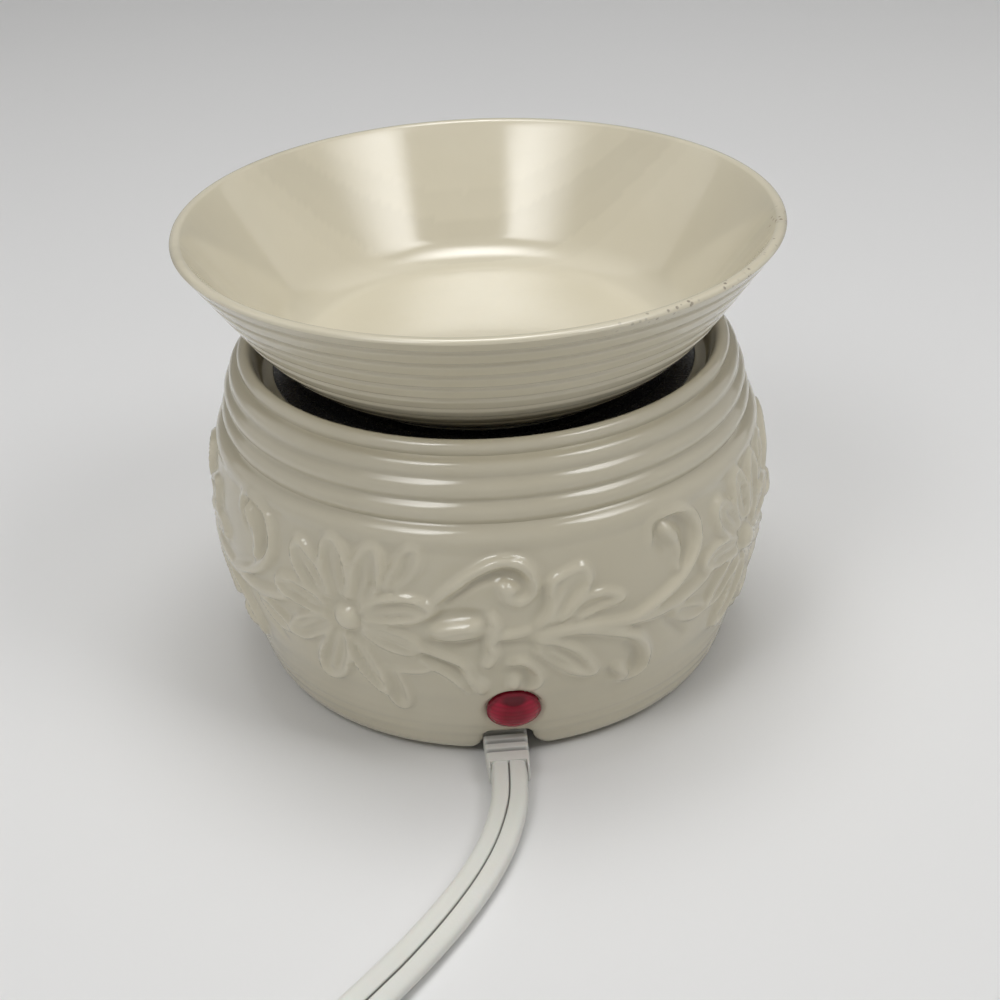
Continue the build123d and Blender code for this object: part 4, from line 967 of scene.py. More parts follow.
STROKES: tuple[Stroke, ...] = (
    Stroke(
        ((-15.2, 47.0), (-13.0, 49.6), (-10.4, 52.1), (-7.0, 55.0), (-3.2, 57.3), (-0.2, 57.7), (2.8, 56.2),
         (4.4, 53.4), (4.5, 50.6), (3.2, 48.4)), 1.25, 2.0, taper=0.45,
    ),
    Stroke(((3.2, 48.4), (1.2, 48.0), (-0.8, 49.6), (-0.6, 51.8)), 1.2, 1.3),
    Stroke(((-1.3, 52.0), (0.2, 51.2)), 1.35, 2.0, taper=0.0),
    Stroke(((-11.6, 48.6), (-6.6, 53.4), (-2.4, 54.6), (0.6, 54.6), (2.2, 52.6)), 1.3, 0.9, Cut.GROOVE),
    Stroke(((-15.4, 40.6), (-11.4, 41.9), (-8.0, 42.6), (-5.4, 43.2)), 1.5, 2.1, taper=0.7),
    Stroke(((-14.0, 39.4), (-8.6, 40.6), (-5.2, 41.6)), 1.9, 1.3, taper=0.4),
    Stroke(((-15.4, 44.0), (-10.0, 45.6), (-5.6, 45.4)), 1.3, 0.7, Cut.GROOVE),
    Stroke(((-16.0, 38.0), (-10.0, 38.0), (-5.6, 39.0)), 1.1, 0.7, Cut.GROOVE),
    Stroke(
        ((-3.8, 45.0), (-3.0, 42.6), (-3.4, 40.4), (-3.9, 37.6), (-3.4, 35.0), (-4.8, 31.6)), 1.25, 1.8,
        taper=0.2,
    ),
    Stroke(((-5.8, 42.6), (-5.6, 38.4), (-6.4, 34.6)), 1.0, 0.6, Cut.GROOVE),
    Stroke(((-3.2, 39.6), (0.0, 39.8), (3.2, 40.6)), 1.2, 1.0, taper=0.2),
    Stroke(((-2.4, 37.8), (2.4, 37.4), (5.0, 36.4)), 0.9, 0.5, Cut.GROOVE),
    Stroke(((-18.4, 36.4), (-13.8, 34.4), (-9.8, 32.4), (-7.6, 30.0)), 1.2, 1.2, taper=0.5),
    Stroke(((-18.0, 34.6), (-13.2, 31.6), (-9.2, 28.8)), 1.05, 0.9, Cut.GROOVE),
    Stroke(((-17.0, 32.2), (-13.6, 29.8), (-10.8, 26.8), (-8.6, 22.4)), 1.2, 1.3, taper=0.5),
    Stroke(((-9.6, 30.6), (-7.6, 26.8), (-6.6, 23.4)), 1.5, 1.0, taper=0.2),
    Stroke(((-6.4, 27.0), (-5.6, 24.8), (-6.2, 22.6)), 0.9, 1.2),
    Stroke(
        ((5.2, 38.8), (12.0, 39.4), (18.0, 38.6), (25.0, 37.6), (33.0, 37.8), (38.6, 39.0), (42.6, 40.6)),
        1.9, 1.15, taper=0.1,
    ),
    Stroke(((14.0, 37.0), (20.0, 36.4), (27.0, 35.8)), 1.0, 0.35, Cut.GROOVE),
    Stroke(((-0.4, 31.6), (1.6, 32.3), (3.6, 30.6), (4.9, 27.8), (4.9, 24.6), (3.2, 22.6)), 1.05, 1.4),
    Stroke(((0.3, 27.4), (0.1, 25.2), (0.0, 23.0)), 1.35, 1.6, taper=0.2),
    Stroke(((-1.8, 29.4), (1.0, 29.8), (2.6, 27.6), (2.6, 24.6)), 0.9, 0.7, Cut.GROOVE),
    Stroke(((-22.8, 28.6), (-19.0, 28.9), (-16.0, 29.9)), 1.0, 1.1),
    Stroke(
        ((13.2, 38.4), (17.6, 36.8), (21.4, 35.2), (24.6, 32.9), (27.0, 29.2), (28.3, 24.8), (28.0, 21.2),
         (26.4, 19.4)), 1.2, 1.7,
    ),
    Stroke(((26.4, 19.4), (23.8, 19.4), (22.0, 20.6)), 0.95, 0.9, taper=0.0),
    Stroke(((21.3, 24.9), (22.6, 22.8), (23.6, 21.2)), 1.25, 1.8, taper=0.1),
    Stroke(((22.8, 31.0), (24.9, 27.6), (25.7, 22.6)), 0.95, 0.9, Cut.GROOVE),
    Stroke(((19.4, 24.2), (20.4, 21.4)), 0.9, 0.6, Cut.GROOVE),
    Stroke(
        ((24.0, 38.4), (28.6, 40.4), (33.4, 42.8), (37.2, 46.2), (39.6, 50.2), (40.0, 54.4), (38.6, 58.2),
         (35.4, 60.6), (31.6, 60.8)), 1.3, 1.9, taper=0.2,
    ),
    Stroke(((31.6, 60.8), (28.6, 59.4), (28.2, 55.4)), 0.95, 0.9, taper=0.0),
    Stroke(((31.6, 57.4), (32.6, 55.8), (33.6, 54.2)), 1.45, 1.9, taper=0.1),
    Stroke(((33.6, 54.2), (34.6, 50.0), (34.0, 46.6)), 1.2, 1.0, taper=0.0),
    Stroke(((29.7, 58.2), (29.4, 55.0), (30.6, 52.6)), 0.9, 0.8, Cut.GROOVE),
    Stroke(((35.0, 58.2), (36.7, 55.0), (36.5, 50.8), (34.6, 47.6)), 1.0, 0.95, Cut.GROOVE),
    Stroke(((31.6, 34.2), (35.0, 29.6), (38.6, 25.4)), 1.1, 0.6, Cut.GROOVE),
    Stroke(((4.0, 43.6), (6.0, 47.0), (6.6, 50.6)), 1.0, 0.6, Cut.GROOVE),
)


class Ornament:
    """The raised flowers and scrolls, worked out once on a fine raster of one repeat.

    Its lengths are in millimetres, and a taper is the share that a bead loses at its ends.
    """

    REPEAT_DEGREES = 90.0
    STEP = 0.25
    LOW, HIGH = 11.0, 66.0
    BLUR = 0.6
    LINE_STEPS = 6
    PETAL_TAPER = 0.25
    VEIN_TAPER = 0.2
    RIB_WIDTH, RIB_OVER_FILL = 1.1, 0.6
    VEIN_WIDTH, VEIN_DEPTH = 1.0, 0.7
    PILLOW_BLUR = 0.5
    HALO_BLUR, HALO_START, HALO_DEPTH = 2.2, 0.6, 0.45
    BEAD_MARGIN = 1.5
    FILL_MARGIN = 0.5
    TAPER_ENDS = 4
    BUTTON = (-31.8, 41.0)
    BUTTON_RADIUS, BUTTON_HEIGHT = 3.3, 2.0
    STIPPLE, STIPPLE_PITCH, STIPPLE_REACH = 0.1, 5.2, 0.85

    def __init__(self, degree: float) -> None:
        """Draws every petal and stroke.

        Args:
            degree: How many millimetres one degree is round the belly.
        """
        self.degree = degree
        self.width = self.REPEAT_DEGREES * degree
        columns = round(self.width / self.STEP)
        rows = round((self.HIGH - self.LOW) / self.STEP)
        across = (np.arange(columns) + 0.5) * self.width / columns - self.width / 2
        self.x, self.y = np.meshgrid(across, self.LOW + (np.arange(rows) + 0.5) * self.STEP)
        raised, pressed, pillow = (np.zeros_like(self.x) for _ in range(3))
        for petal in PETALS:
            self._bead(raised, petal.edge, petal.bead, petal.height, self.PETAL_TAPER)
            for rib in petal.ribs:
                self._bead(raised, rib, self.RIB_WIDTH, petal.fill + self.RIB_OVER_FILL, self.VEIN_TAPER)
            for groove in petal.grooves:
                self._bead(pressed, groove, self.VEIN_WIDTH, self.VEIN_DEPTH, self.VEIN_TAPER)
            self._fill(pillow, petal)
        for stroke in STROKES:
            field = raised if stroke.cut is Cut.RIDGE else pressed
            self._bead(field, stroke.points, stroke.width, stroke.height, stroke.taper)
        self._button(raised)
        body = np.maximum(raised, self._blurred(pillow, self.PILLOW_BLUR))
        halo = self._blurred(body, self.HALO_BLUR)
        carved = self._blurred(body - pressed, self.BLUR)
        self.height = carved - self.HALO_DEPTH * np.clip(halo - self.HALO_START * body, 0, 1)

    def _wrap(self, offset: np.ndarray) -> np.ndarray:
        """An offset round the body, brought to the nearest repeat."""
        return offset - self.width * np.round(offset / self.width)

    def _drawn(self, points: Sequence[Point2]) -> list[Point2]:
        """A smooth line through points, with its degrees turned into millimetres."""
        return smooth_line([(x * self.degree, y) for x, y in points], self.LINE_STEPS)

    def _window(self, line: Sequence[Point2], margin: float) -> tuple[np.ndarray, np.ndarray, np.ndarray]:
        """The raster points near a line.

        Args:
            line: The line, in millimetres round the body and up.
            margin: How far past the line the window reaches.

        Returns:
            The mask of those points, and their places in the line's own millimetres.
        """
        middle = sum(x for x, _ in line) / len(line)
        reach = max(abs(x - middle) for x, _ in line) + margin
        low, high = min(y for _, y in line) - margin, max(y for _, y in line) + margin
        near = self._wrap(self.x - middle)
        mask = (np.abs(near) < reach) & (self.y > low) & (self.y < high)
        return mask, near[mask] + middle, self.y[mask]

    def _bead(
        self, field: np.ndarray, points: Sequence[Point2], width: float, height: float, taper: float
    ) -> None:
        """Draws a round bead along a smooth line into a field, thinner at its two ends.

        Args:
            field: The raster that it is drawn into.
            points: The line, in degrees round and height.
            width: Half the bead's width.
            height: Its height.
            taper: The share that it loses at its ends.
        """
        line = self._drawn(points)
        mask, x, y = self._window(line, self.BEAD_MARGIN * width)
        best = np.zeros_like(x)
        for index, (here, after) in enumerate(zip(line, line[1:])):
            share = (index + 0.5) / (len(line) - 1)
            size = width * (1 - taper * max(0.0, 1 - self.TAPER_ENDS * min(share, 1 - share)))
            run = np.array(after) - np.array(here)
            dx, dy = x - here[0], y - here[1]
            t = np.clip((dx * run[0] + dy * run[1]) / max(float(run @ run), 1e-9), 0, 1)
            away = np.hypot(dx - t * run[0], dy - t * run[1]) / size
            best = np.maximum(best, height * np.sqrt(np.clip(1 - away**2, 0, 1)) * size / width)
        field[mask] = np.maximum(field[mask], best)

    def _fill(self, field: np.ndarray, petal: Petal) -> None:
        """Fills a petal's inside with its low pillow.

        Args:
            field: The raster that it is drawn into.
            petal: The petal.
        """
        line = self._drawn(petal.edge)
        mask, x, y = self._window(line, self.FILL_MARGIN)
        inside = np.zeros(x.shape, bool)
        for (ax, ay), (bx, by) in zip(line, [*line[1:], line[0]]):
            if ay != by:
                crossed = (ay > y) != (by > y)
                inside ^= crossed & (x < (bx - ax) * (y - ay) / (by - ay) + ax)
        field[mask] = np.maximum(field[mask], petal.fill * inside)

    def _button(self, field: np.ndarray) -> None:
        """Adds the round middle of the flower, with a fine stippled top.

        Args:
            field: The raster that it is drawn into.
        """
        dx = self._wrap(self.x - self.BUTTON[0] * self.degree)
        dy = self.y - self.BUTTON[1]
        away = np.hypot(dx, dy) / self.BUTTON_RADIUS
        dome = self.BUTTON_HEIGHT * np.sqrt(np.clip(1 - away**2, 0, 1))
        stipple = self.STIPPLE * np.sin(self.STIPPLE_PITCH * dx) * np.sin(self.STIPPLE_PITCH * dy)
        field[:] = np.maximum(field, dome + stipple * (away < self.STIPPLE_REACH))

    def _blurred(self, field: np.ndarray, size: float) -> np.ndarray:
        """A field softened over a size in millimetres, joined round the body.

        Args:
            field: The raster.
            size: How far it softens, in millimetres.

        Returns:
            The softened raster.
        """
        reach = max(1, round(3 * size / self.STEP))
        offsets = np.arange(-reach, reach + 1)
        weights = np.exp(-((offsets * self.STEP / size) ** 2) / 2)
        weights /= weights.sum()
        wide = sum(weight * np.roll(field, offset, axis=1) for weight, offset in zip(weights, offsets))
        padded = np.pad(wide, ((reach, reach), (0, 0)), mode="edge")
        rows = field.shape[0]
        return sum(
            weight * padded[reach + offset: reach + offset + rows] for weight, offset in zip(weights, offsets)
        )

    def at(self, degrees: np.ndarray, heights: np.ndarray) -> np.ndarray:
        """How far the ornament stands up at places given in degrees round and height.

        Args:
            degrees: How far round the places are.
            heights: How high they are.

        Returns:
            The heights of the ornament, in millimetres.
        """
        rows, columns = self.height.shape
        x = (self._wrap(degrees * self.degree) + self.width / 2) / self.width * columns - 0.5
        y = (heights - self.LOW) / self.STEP - 0.5
        inside = (y > 0) & (y < rows - 1)
        y = np.clip(y, 0, rows - 1.001)
        left, bottom = np.floor(x).astype(int), np.floor(y).astype(int)
        share_x, share_y = x - left, y - bottom
        picked = 0.0
        for step_x, part_x in ((0, 1 - share_x), (1, share_x)):
            for step_y, part_y in ((0, 1 - share_y), (1, share_y)):
                picked = picked + part_x * part_y * self.height[bottom + step_y, (left + step_x) % columns]
        return np.where(inside, picked, 0.0)


@dataclass(frozen=True)
class LensSeat:
    """Where the pilot light sits in the wall, in millimetres and degrees."""

    height: float = 15.7
    radius: float = 61.9
    tilt: float = 16.0

    def axes(self) -> tuple[Vector, Vector, Vector]:
        """The seat's middle, the way out of the wall and the way up along it."""
        tilt = math.radians(self.tilt)
        out = Vector((0, -math.cos(tilt), -math.sin(tilt)))
        return Vector((0, -self.radius, self.height)) - out, out, Vector((1, 0, 0)).cross(out)

    def turned(self, profile: Sequence[Point2], steps: int) -> np.ndarray:
        """Turns a profile about the light's axis.

        Args:
            profile: The (radius, depth) points, depth being outwards.
            steps: How many points each ring has.

        Returns:
            The points, ring after ring.
        """
        seat, out, up = self.axes()
        side = Vector((1, 0, 0))
        return np.array([
            tuple(seat + out * depth + side * (r * math.cos(a)) + up * (r * math.sin(a)))
            for r, depth in profile for a in circle(steps)
        ])


@dataclass(frozen=True)
class Notch:
    """The cord notch in the body's foot, in millimetres, with its sides flared towards the floor."""

    x: float = -1.3
    half: float = 5.8
    top: float = 8.2
    corner: float = 2.4
    flares: Point2 = (2.8, 4.3)
    flare_top: float = 6.0
    flare_height: float = 5.6
    flare_power: float = 1.8
    spread: tuple[Point2, ...] = (
        (1.4, -3.0), (1.0, 0.5), (0.66, 1.6), (0.4, 2.7), (0.2, 3.8), (0.06, 4.9), (0.0, 5.8),
    )
    arch_start: float = 0.2
    arch_steps: int = 6
    cut_from: float = -75.0
    cut_to: float = -45.0

    def distance(self, x: np.ndarray, z: np.ndarray) -> np.ndarray:
        """How far a place on the front lies outside the notch.

        Args:
            x: How far right of the middle the place is.
            z: How high it is.

        Returns:
            The distance, less than 0 inside the notch.
        """
        left, right = self.flares
        low = np.clip((self.flare_top - z) / self.flare_height, 0, 1) ** self.flare_power
        dx = np.abs(x - self.x) - self.half - low * np.where(x > self.x, right, left) + self.corner
        dz = z - self.top + self.corner
        outside = np.hypot(np.maximum(dx, 0), np.maximum(dz, 0))
        return outside + np.minimum(np.maximum(dx, dz), 0) - self.corner

    def cutter(self) -> bpy.types.Object:
        """Makes the block that cuts the notch through the wall.

        Returns:
            The block, which is removed after the cut.
        """
        arch = arc(
            (self.half - self.corner, self.top - self.corner), self.corner,
            self.arch_start, math.pi / 2, self.arch_steps,
        )
        left, right = (
            [(self.half + flare * share, z) for share, z in self.spread] + arch for flare in self.flares
        )
        shape = right + [(-x, z) for x, z in reversed(left)]
        points = [(self.x + x, y, z) for y in (self.cut_from, self.cut_to) for x, z in shape]
        return new_piece("notch_cutter", np.array(points), tube_faces(2, len(shape)), GLAZE)


@dataclass(frozen=True)
class CeramicBody:
    """The pot-bellied ceramic body, in millimetres.

    Its outlines are (radius, height) points. A fade is the height at which the ornament ends, and the
    height over which it fades out. The carved and the ringed band of the outside have the finer rows.
    """

    side: tuple[Point2, ...] = (
        (55.1, 0.8), (57.2, 1.9), (58.3, 3.6), (59.1, 6.0), (60.0, 9.0), (60.9, 12.0), (61.6, 15.0),
        (62.5, 18.0), (63.6, 21.0), (64.4, 24.0), (65.2, 27.0), (65.8, 30.0), (66.4, 33.0), (66.8, 36.0),
        (67.1, 39.0), (67.2, 42.0), (67.1, 45.0), (66.9, 48.0), (66.6, 51.0), (66.2, 54.0), (65.7, 57.0),
        (65.0, 59.6),
    )
    side_steps: int = 12
    grooves: tuple[Point2, ...] = ((65.0, 59.6), (62.3, 65.2), (61.2, 70.2), (60.2, 75.1), (57.8, 79.1))
    ridge_bulge: float = 1.35
    ridge_power: float = 0.8
    ridge_steps: int = 24
    rim: tuple[Point2, ...] = (
        (58.1, 79.8), (58.25, 80.6), (58.0, 81.4), (57.5, 82.0), (56.8, 82.35), (56.1, 82.3), (55.4, 81.9),
        (54.9, 81.2), (54.6, 80.2),
    )
    rim_steps: int = 8
    inside: tuple[Point2, ...] = (
        (53.6, 77.4), (52.9, 75.7), (52.6, 75.4), (46.7, 75.4), (46.7, 71.4), (56.6, 65.4), (60.4, 59.8),
        (62.0, 53.0), (62.6, 42.0), (61.8, 33.0), (59.0, 20.0), (53.0, 9.7), (48.4, 7.4), (47.0, 7.4),
        (47.0, 3.4), (50.4, 3.4), (50.4, 0.8),
    )
    columns: int = 548
    carved: Point2 = (13.0, 63.0)
    ringed: Point2 = (63.0, 80.5)
    row_step: float = 0.62
    plain_row_step: float = 0.86
    ring_row_step: float = 0.52
    degree: float = 1.161
    fade_low: Point2 = (12.0, 2.0)
    fade_high: Point2 = (62.6, 2.5)
    foot_ring_depth: float = 0.14
    foot_ring_pitch: float = 3.1
    foot_ring_start: float = 4.0
    foot_ring_middle: float = 8.0
    foot_ring_reach: float = 4.0
    foot: float = 0.8
    edge_round: float = 1.3
    edge_drop: float = 0.7
    lens_clear: float = 3.0
    pool_and_shade_depth: float = 0.75
    pool_and_shade_reach: float = 0.9
    far: float = 99.0
    sharp: float = 50.0
    notch: Notch = Notch()
    seat: LensSeat = LensSeat()
    lens_hole: float = 6.45
    hole: tuple[Point2, ...] = ((5.1, -14.0), (5.1, 0.0), (6.45, 0.0), (6.65, 6.0))
    hole_steps: int = 64

    def _outline(self) -> tuple[np.ndarray, int]:
        """Draws the wall's closed outline, from the foot up the outside and down the inside.

        Returns:
            The outline's points, and how many of them are outside.
        """
        outer = smooth_line(self.side, self.side_steps)
        for low, high in zip(self.grooves, self.grooves[1:]):
            run = Vector((high[0] - low[0], high[1] - low[1]))
            out = Vector((run.y, -run.x)).normalized()
            for share in (step / self.ridge_steps for step in range(1, self.ridge_steps + 1)):
                lift = self.ridge_bulge * math.sin(math.pi * share) ** self.ridge_power
                outer.append((low[0] + run.x * share + out.x * lift, low[1] + run.y * share + out.y * lift))
        outer += smooth_line((outer[-1], *self.rim), self.rim_steps)[1:]
        points = self._evened(np.array(outer))
        return np.vstack([points, np.array(self.inside)]), len(points)

    def _evened(self, line: np.ndarray) -> np.ndarray:
        """A line with its points a row step apart, softened a little so that its grooves are round.

        Args:
            line: The line's points.

        Returns:
            The evened points.
        """
        along, height = lengths_along(line), line[:, 1]
        carved = (height > self.carved[0]) & (height < self.carved[1])
        ringed = (height >= self.ringed[0]) & (height < self.ringed[1])
        steps = np.where(ringed, self.ring_row_step, np.where(carved, self.row_step, self.plain_row_step))
        rows = np.concatenate([[0.0], np.cumsum(np.diff(along) / steps[1:])])
        wanted = np.interp(np.linspace(0, rows[-1], round(rows[-1])), rows, along)
        even = np.stack([np.interp(wanted, along, line[:, axis]) for axis in (0, 1)], axis=1)
        soft = even.copy()
        soft[1:-1] = 0.25 * even[:-2] + 0.5 * even[1:-1] + 0.25 * even[2:]
        return soft

    def _lift(
        self, x: np.ndarray, height: np.ndarray, shell: np.ndarray, angles: np.ndarray
    ) -> tuple[np.ndarray, np.ndarray]:
        """How far each point moves out of the plain wall.

        Args:
            x: How far right of the middle each point lies.
            height: Its height.
            shell: Whether it is on the outside.
            angles: The angle of each column of points.

        Returns:
            The move with its rounded edges, and the ornament alone, both in millimetres.
        """
        degrees = np.broadcast_to(np.degrees(angles) + 90.0, height.shape)
        relief = np.where(shell, Ornament(self.degree).at(degrees, height), 0.0)
        relief *= np.clip((self.fade_high[0] - height) / self.fade_high[1], 0, 1)
        relief *= np.clip((height - self.fade_low[0]) / self.fade_low[1], 0, 1)
        waves = np.sin((height - self.foot_ring_start) * 2 * np.pi / self.foot_ring_pitch)
        reach = np.exp(-(((height - self.foot_ring_middle) / self.foot_ring_reach) ** 2))
        lift = relief + waves * self.foot_ring_depth * reach * shell
        front = np.sin(angles)[None, :] < 0
        notch_away = np.where(front, self.notch.distance(x, height), self.far)
        lens_away = np.where(front, np.hypot(x, height - self.seat.height) - self.lens_hole, self.far)
        for gap in (notch_away, lens_away):
            near = np.clip(1 - gap / self.edge_round, 0, 1)
            drop = self.edge_round * self.edge_drop * (1 - np.sqrt(np.clip(1 - near**2, 0, 1)))
            lift = lift - shell * drop
        return lift - relief * np.clip(1 - lens_away / self.lens_clear, 0, 1) * shell, relief

    def build(self) -> bpy.types.Object:
        """Makes the body with its ornament, the notch and the hole for the pilot light.

        Returns:
            The finished piece, in place of the plain CAD shell.
        """
        outline, outside = self._outline()
        heading = headings(outline)
        angles = circle(self.columns)
        radius = np.repeat(outline[:, :1], self.columns, axis=1)
        height = np.repeat(outline[:, 1:], self.columns, axis=1)
        shell = (np.arange(len(outline)) < outside)[:, None]
        lift, relief = self._lift(radius * np.cos(angles), height, shell, angles)
        radius = radius + lift * heading[:, 1:]
        height = height - lift * heading[:, :1]
        height[:outside] = np.maximum(height[:outside], self.foot)
        points = np.stack([radius * np.cos(angles), radius * np.sin(angles), height], axis=2).reshape(-1, 3)
        faces = ring_faces(len(outline), self.columns, True)
        piece = new_piece("ceramic_body", points, faces, GLAZE, self.sharp)
        # The stored relief, with a dip along each ring groove, darkens the glaze there: partly pooled glaze,
        # partly painted shade.
        gap = np.min([np.abs(height - z) for _, z in self.grooves[1:]], axis=0) / self.pool_and_shade_reach
        store(piece.data, "relief", np.where(shell, relief - self.pool_and_shade_depth * np.exp(-(gap**2)), 0.0))
        self._cut(piece)
        tidy(piece, GLAZE, self.sharp)
        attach(piece, "base")
        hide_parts("body_shell")
        return piece

    def _cut(self, piece: bpy.types.Object) -> None:
        """Cuts the cord notch and the hole for the pilot light through the wall.

        Args:
            piece: The body's piece.
        """
        points = self.seat.turned(self.hole, self.hole_steps)
        hole = new_piece("hole_cutter", points, tube_faces(len(self.hole), self.hole_steps), GLAZE)
        cutters = (self.notch.cutter(), hole)
        for cutter in cutters:
            cut = piece.modifiers.new("cut", "BOOLEAN")
            cut.operation = "DIFFERENCE"
            cut.solver = "EXACT"
            cut.object = cutter
        applied(piece)
        for cutter in cutters:
            bpy.data.objects.remove(cutter)


@dataclass(frozen=True)
class MeltingBowl:
    """The loose ceramic bowl, in millimetres."""

    lip_outer: Point2 = (69.98, 110.15)
    lip_inner: Point2 = (67.4, 110.6)
    lip: tuple[Point2, ...] = (
        (67.65, 110.87), (68.1, 111.08), (68.75, 111.13), (69.4, 110.98), (69.84, 110.6),
    )
    low_outer: Point2 = (57.5, 92.0)
    low_inner: Point2 = (49.31, 86.3)
    foot: Point2 = (38.0, 75.2)
    foot_ring: tuple[Point2, ...] = ((37.3, 74.3), (35.0, 74.3), (34.4, 74.7), (33.6, 75.9))
    foot_edge: Point2 = (37.7, 74.7)
    under: Point2 = (33.0, 76.3)
    floor: Point2 = (38.3, 80.9)
    wall_steps: int = 62
    belly_steps: int = 74
    flat_steps: int = 10
    inner_arc_steps: int = 26
    inner_wall_steps: int = 18
    segments: int = 288
    sharp: float = 50.0
    rings: RingRule = RingRule(first=-36.65, pitch=4.75, count=8, width=0.5, depth=0.5)

    def build(self) -> bpy.types.Object:
        """Turns the bowl with its ring grooves, and returns it in place of the CAD bowl.

        Returns:
            The bowl's piece.
        """
        down = (self.low_outer[0] - self.lip_outer[0], self.low_outer[1] - self.lip_outer[1])
        outside = [self.lip_outer, *straight(self.lip_outer, self.low_outer, self.wall_steps)]
        outside += tangent_arc(self.low_outer, down, self.foot, self.belly_steps)
        bottom = [*straight(self.foot, self.foot_edge, 2), *self.foot_ring, self.under]
        bottom += straight(self.under, (0.0, self.under[1]), self.flat_steps)
        up = (self.low_inner[0] - self.lip_inner[0], self.low_inner[1] - self.lip_inner[1])
        inner_arc = tangent_arc(self.low_inner, up, self.floor, self.inner_arc_steps)
        middle = (0.0, self.floor[1])
        inside = [middle, *straight(middle, self.floor, self.flat_steps), *inner_arc[-2::-1], self.low_inner]
        inside += straight(self.low_inner, self.lip_inner, self.inner_wall_steps)
        anticlockwise = [*reversed(bottom), *reversed(outside)]
        piece = Turning.make(
            "ceramic_bowl", [*anticlockwise, *reversed(self.lip), *reversed(inside)], GLAZE, self.rings,
            start=len(anticlockwise) - 1, segments=self.segments, sharp=self.sharp,
        )
        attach(piece, "bowl")
        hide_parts("melting_bowl")
        return piece


@dataclass(frozen=True)
class HotPlate:
    """The black pan of the hot plate, in millimetres."""

    outline: tuple[Point2, ...] = (
        (0.0, 73.1), (46.0, 73.1), (46.1, 73.3), (46.1, 75.4), (49.9, 75.4), (50.2, 75.6), (50.2, 76.1),
        (50.0, 76.3), (46.4, 76.3), (45.7, 76.15), (45.2, 75.7), (45.2, 74.4), (44.8, 74.05), (44.2, 74.0),
    )
    flat_steps: int = 110
    segments: int = 192
    rings: RingRule = RingRule(first=6.0, pitch=9.0, count=4, width=0.9, depth=0.25)

    def build(self) -> bpy.types.Object:
        """Turns the pan with its pressed rings, and returns it in place of the CAD pan.

        Returns:
            The pan's piece.
        """
        edge = self.outline[-1]
        piece = Turning.make(
            "hot_plate_pan", [*self.outline, *straight(edge, (0.0, edge[1]), self.flat_steps)], BLACK_ENAMEL,
            self.rings, start=len(self.outline) - 1, segments=self.segments,
        )
        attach(piece, "base")
        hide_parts("heater_pan")
        return piece


@dataclass(frozen=True)
class Shadow:
    """A dark oval seen in the lens: how high it lies, its half width and height, and how it fades out."""

    rise: float
    half: Point2
    reach: float
    fade: float
    depth: float


@dataclass(frozen=True)
class PilotLight:
    """The red jewel lens of the pilot light, in millimetres."""

    seat: LensSeat = LensSeat()
    dome: tuple[Point2, ...] = (
        (0.0, 3.6), (1.2, 3.54), (2.4, 3.3), (3.6, 2.84), (4.6, 2.22), (5.3, 1.6), (5.62, 1.25),
    )
    rim_and_stem: tuple[Point2, ...] = (
        (5.8, 1.18), (6.0, 1.12), (6.15, 0.95), (6.15, 0.0), (4.8, 0.0), (4.8, -9.0), (3.5, -9.0), (3.5, 0.0),
        (0.0, 0.0),
    )
    dome_steps: int = 8
    segments: int = 96
    sharp: float = 35.0
    weld: float = 1e-7
    # Painted shadows in the lens: a dark oval behind the dome's upper part and a softer one lower down.
    shadows: tuple[Shadow, ...] = (
        Shadow(4.6, (3.0, 1.05), 1.3, 0.6, 0.9), Shadow(1.2, (3.2, 3.6), 1.2, 0.5, 0.4),
    )
    # Painted shade at the lens's rim.
    rim_start: float = 5.3
    rim_fade: float = 0.4
    rim_shade: float = 0.5

    def build(self) -> bpy.types.Object:
        """Makes the lens with its dome, its thin rim and its hollow stem.

        Returns:
            The lens's piece, in place of the CAD lens.
        """
        dome = [(max(r, 0.0), depth) for r, depth in smooth_line(self.dome, self.dome_steps)]
        profile = [*dome, *self.rim_and_stem]
        faces = ring_faces(len(profile), self.segments)
        points = self.seat.turned(profile, self.segments)
        piece = new_piece("jewel_lens", points, faces, RUBY, self.sharp, self.weld)
        self._shade(piece)
        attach(piece, "base")
        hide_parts("indicator_lens")
        return piece

    def _shade(self, piece: bpy.types.Object) -> None:
        """Stores the lens's painted shade: a painted shadow behind the upper part of its dome, a softer one
        lower down, and painted shade at its rim.

        Args:
            piece: The lens's piece.
        """
        seat, _, up = self.seat.axes()
        places = np.array([vertex.co for vertex in piece.data.vertices]) / MM - np.array(seat)
        across, rise = places[:, 0], -places @ np.array(up)
        painted_shades = [self.rim_shade * np.clip((np.hypot(across, rise) - self.rim_start) / self.rim_fade, 0, 1)]
        for shadow in self.shadows:
            away = np.hypot(across / shadow.half[0], (rise - shadow.rise) / shadow.half[1])
            painted_shades.append(shadow.depth * np.clip((shadow.reach - away) / shadow.fade, 0, 1))
        store(piece.data, "depth", np.maximum.reduce(painted_shades))


# A place along the cord, the block's half width and its top there, and whether its channel is open
Station = tuple[float, float, float, bool]


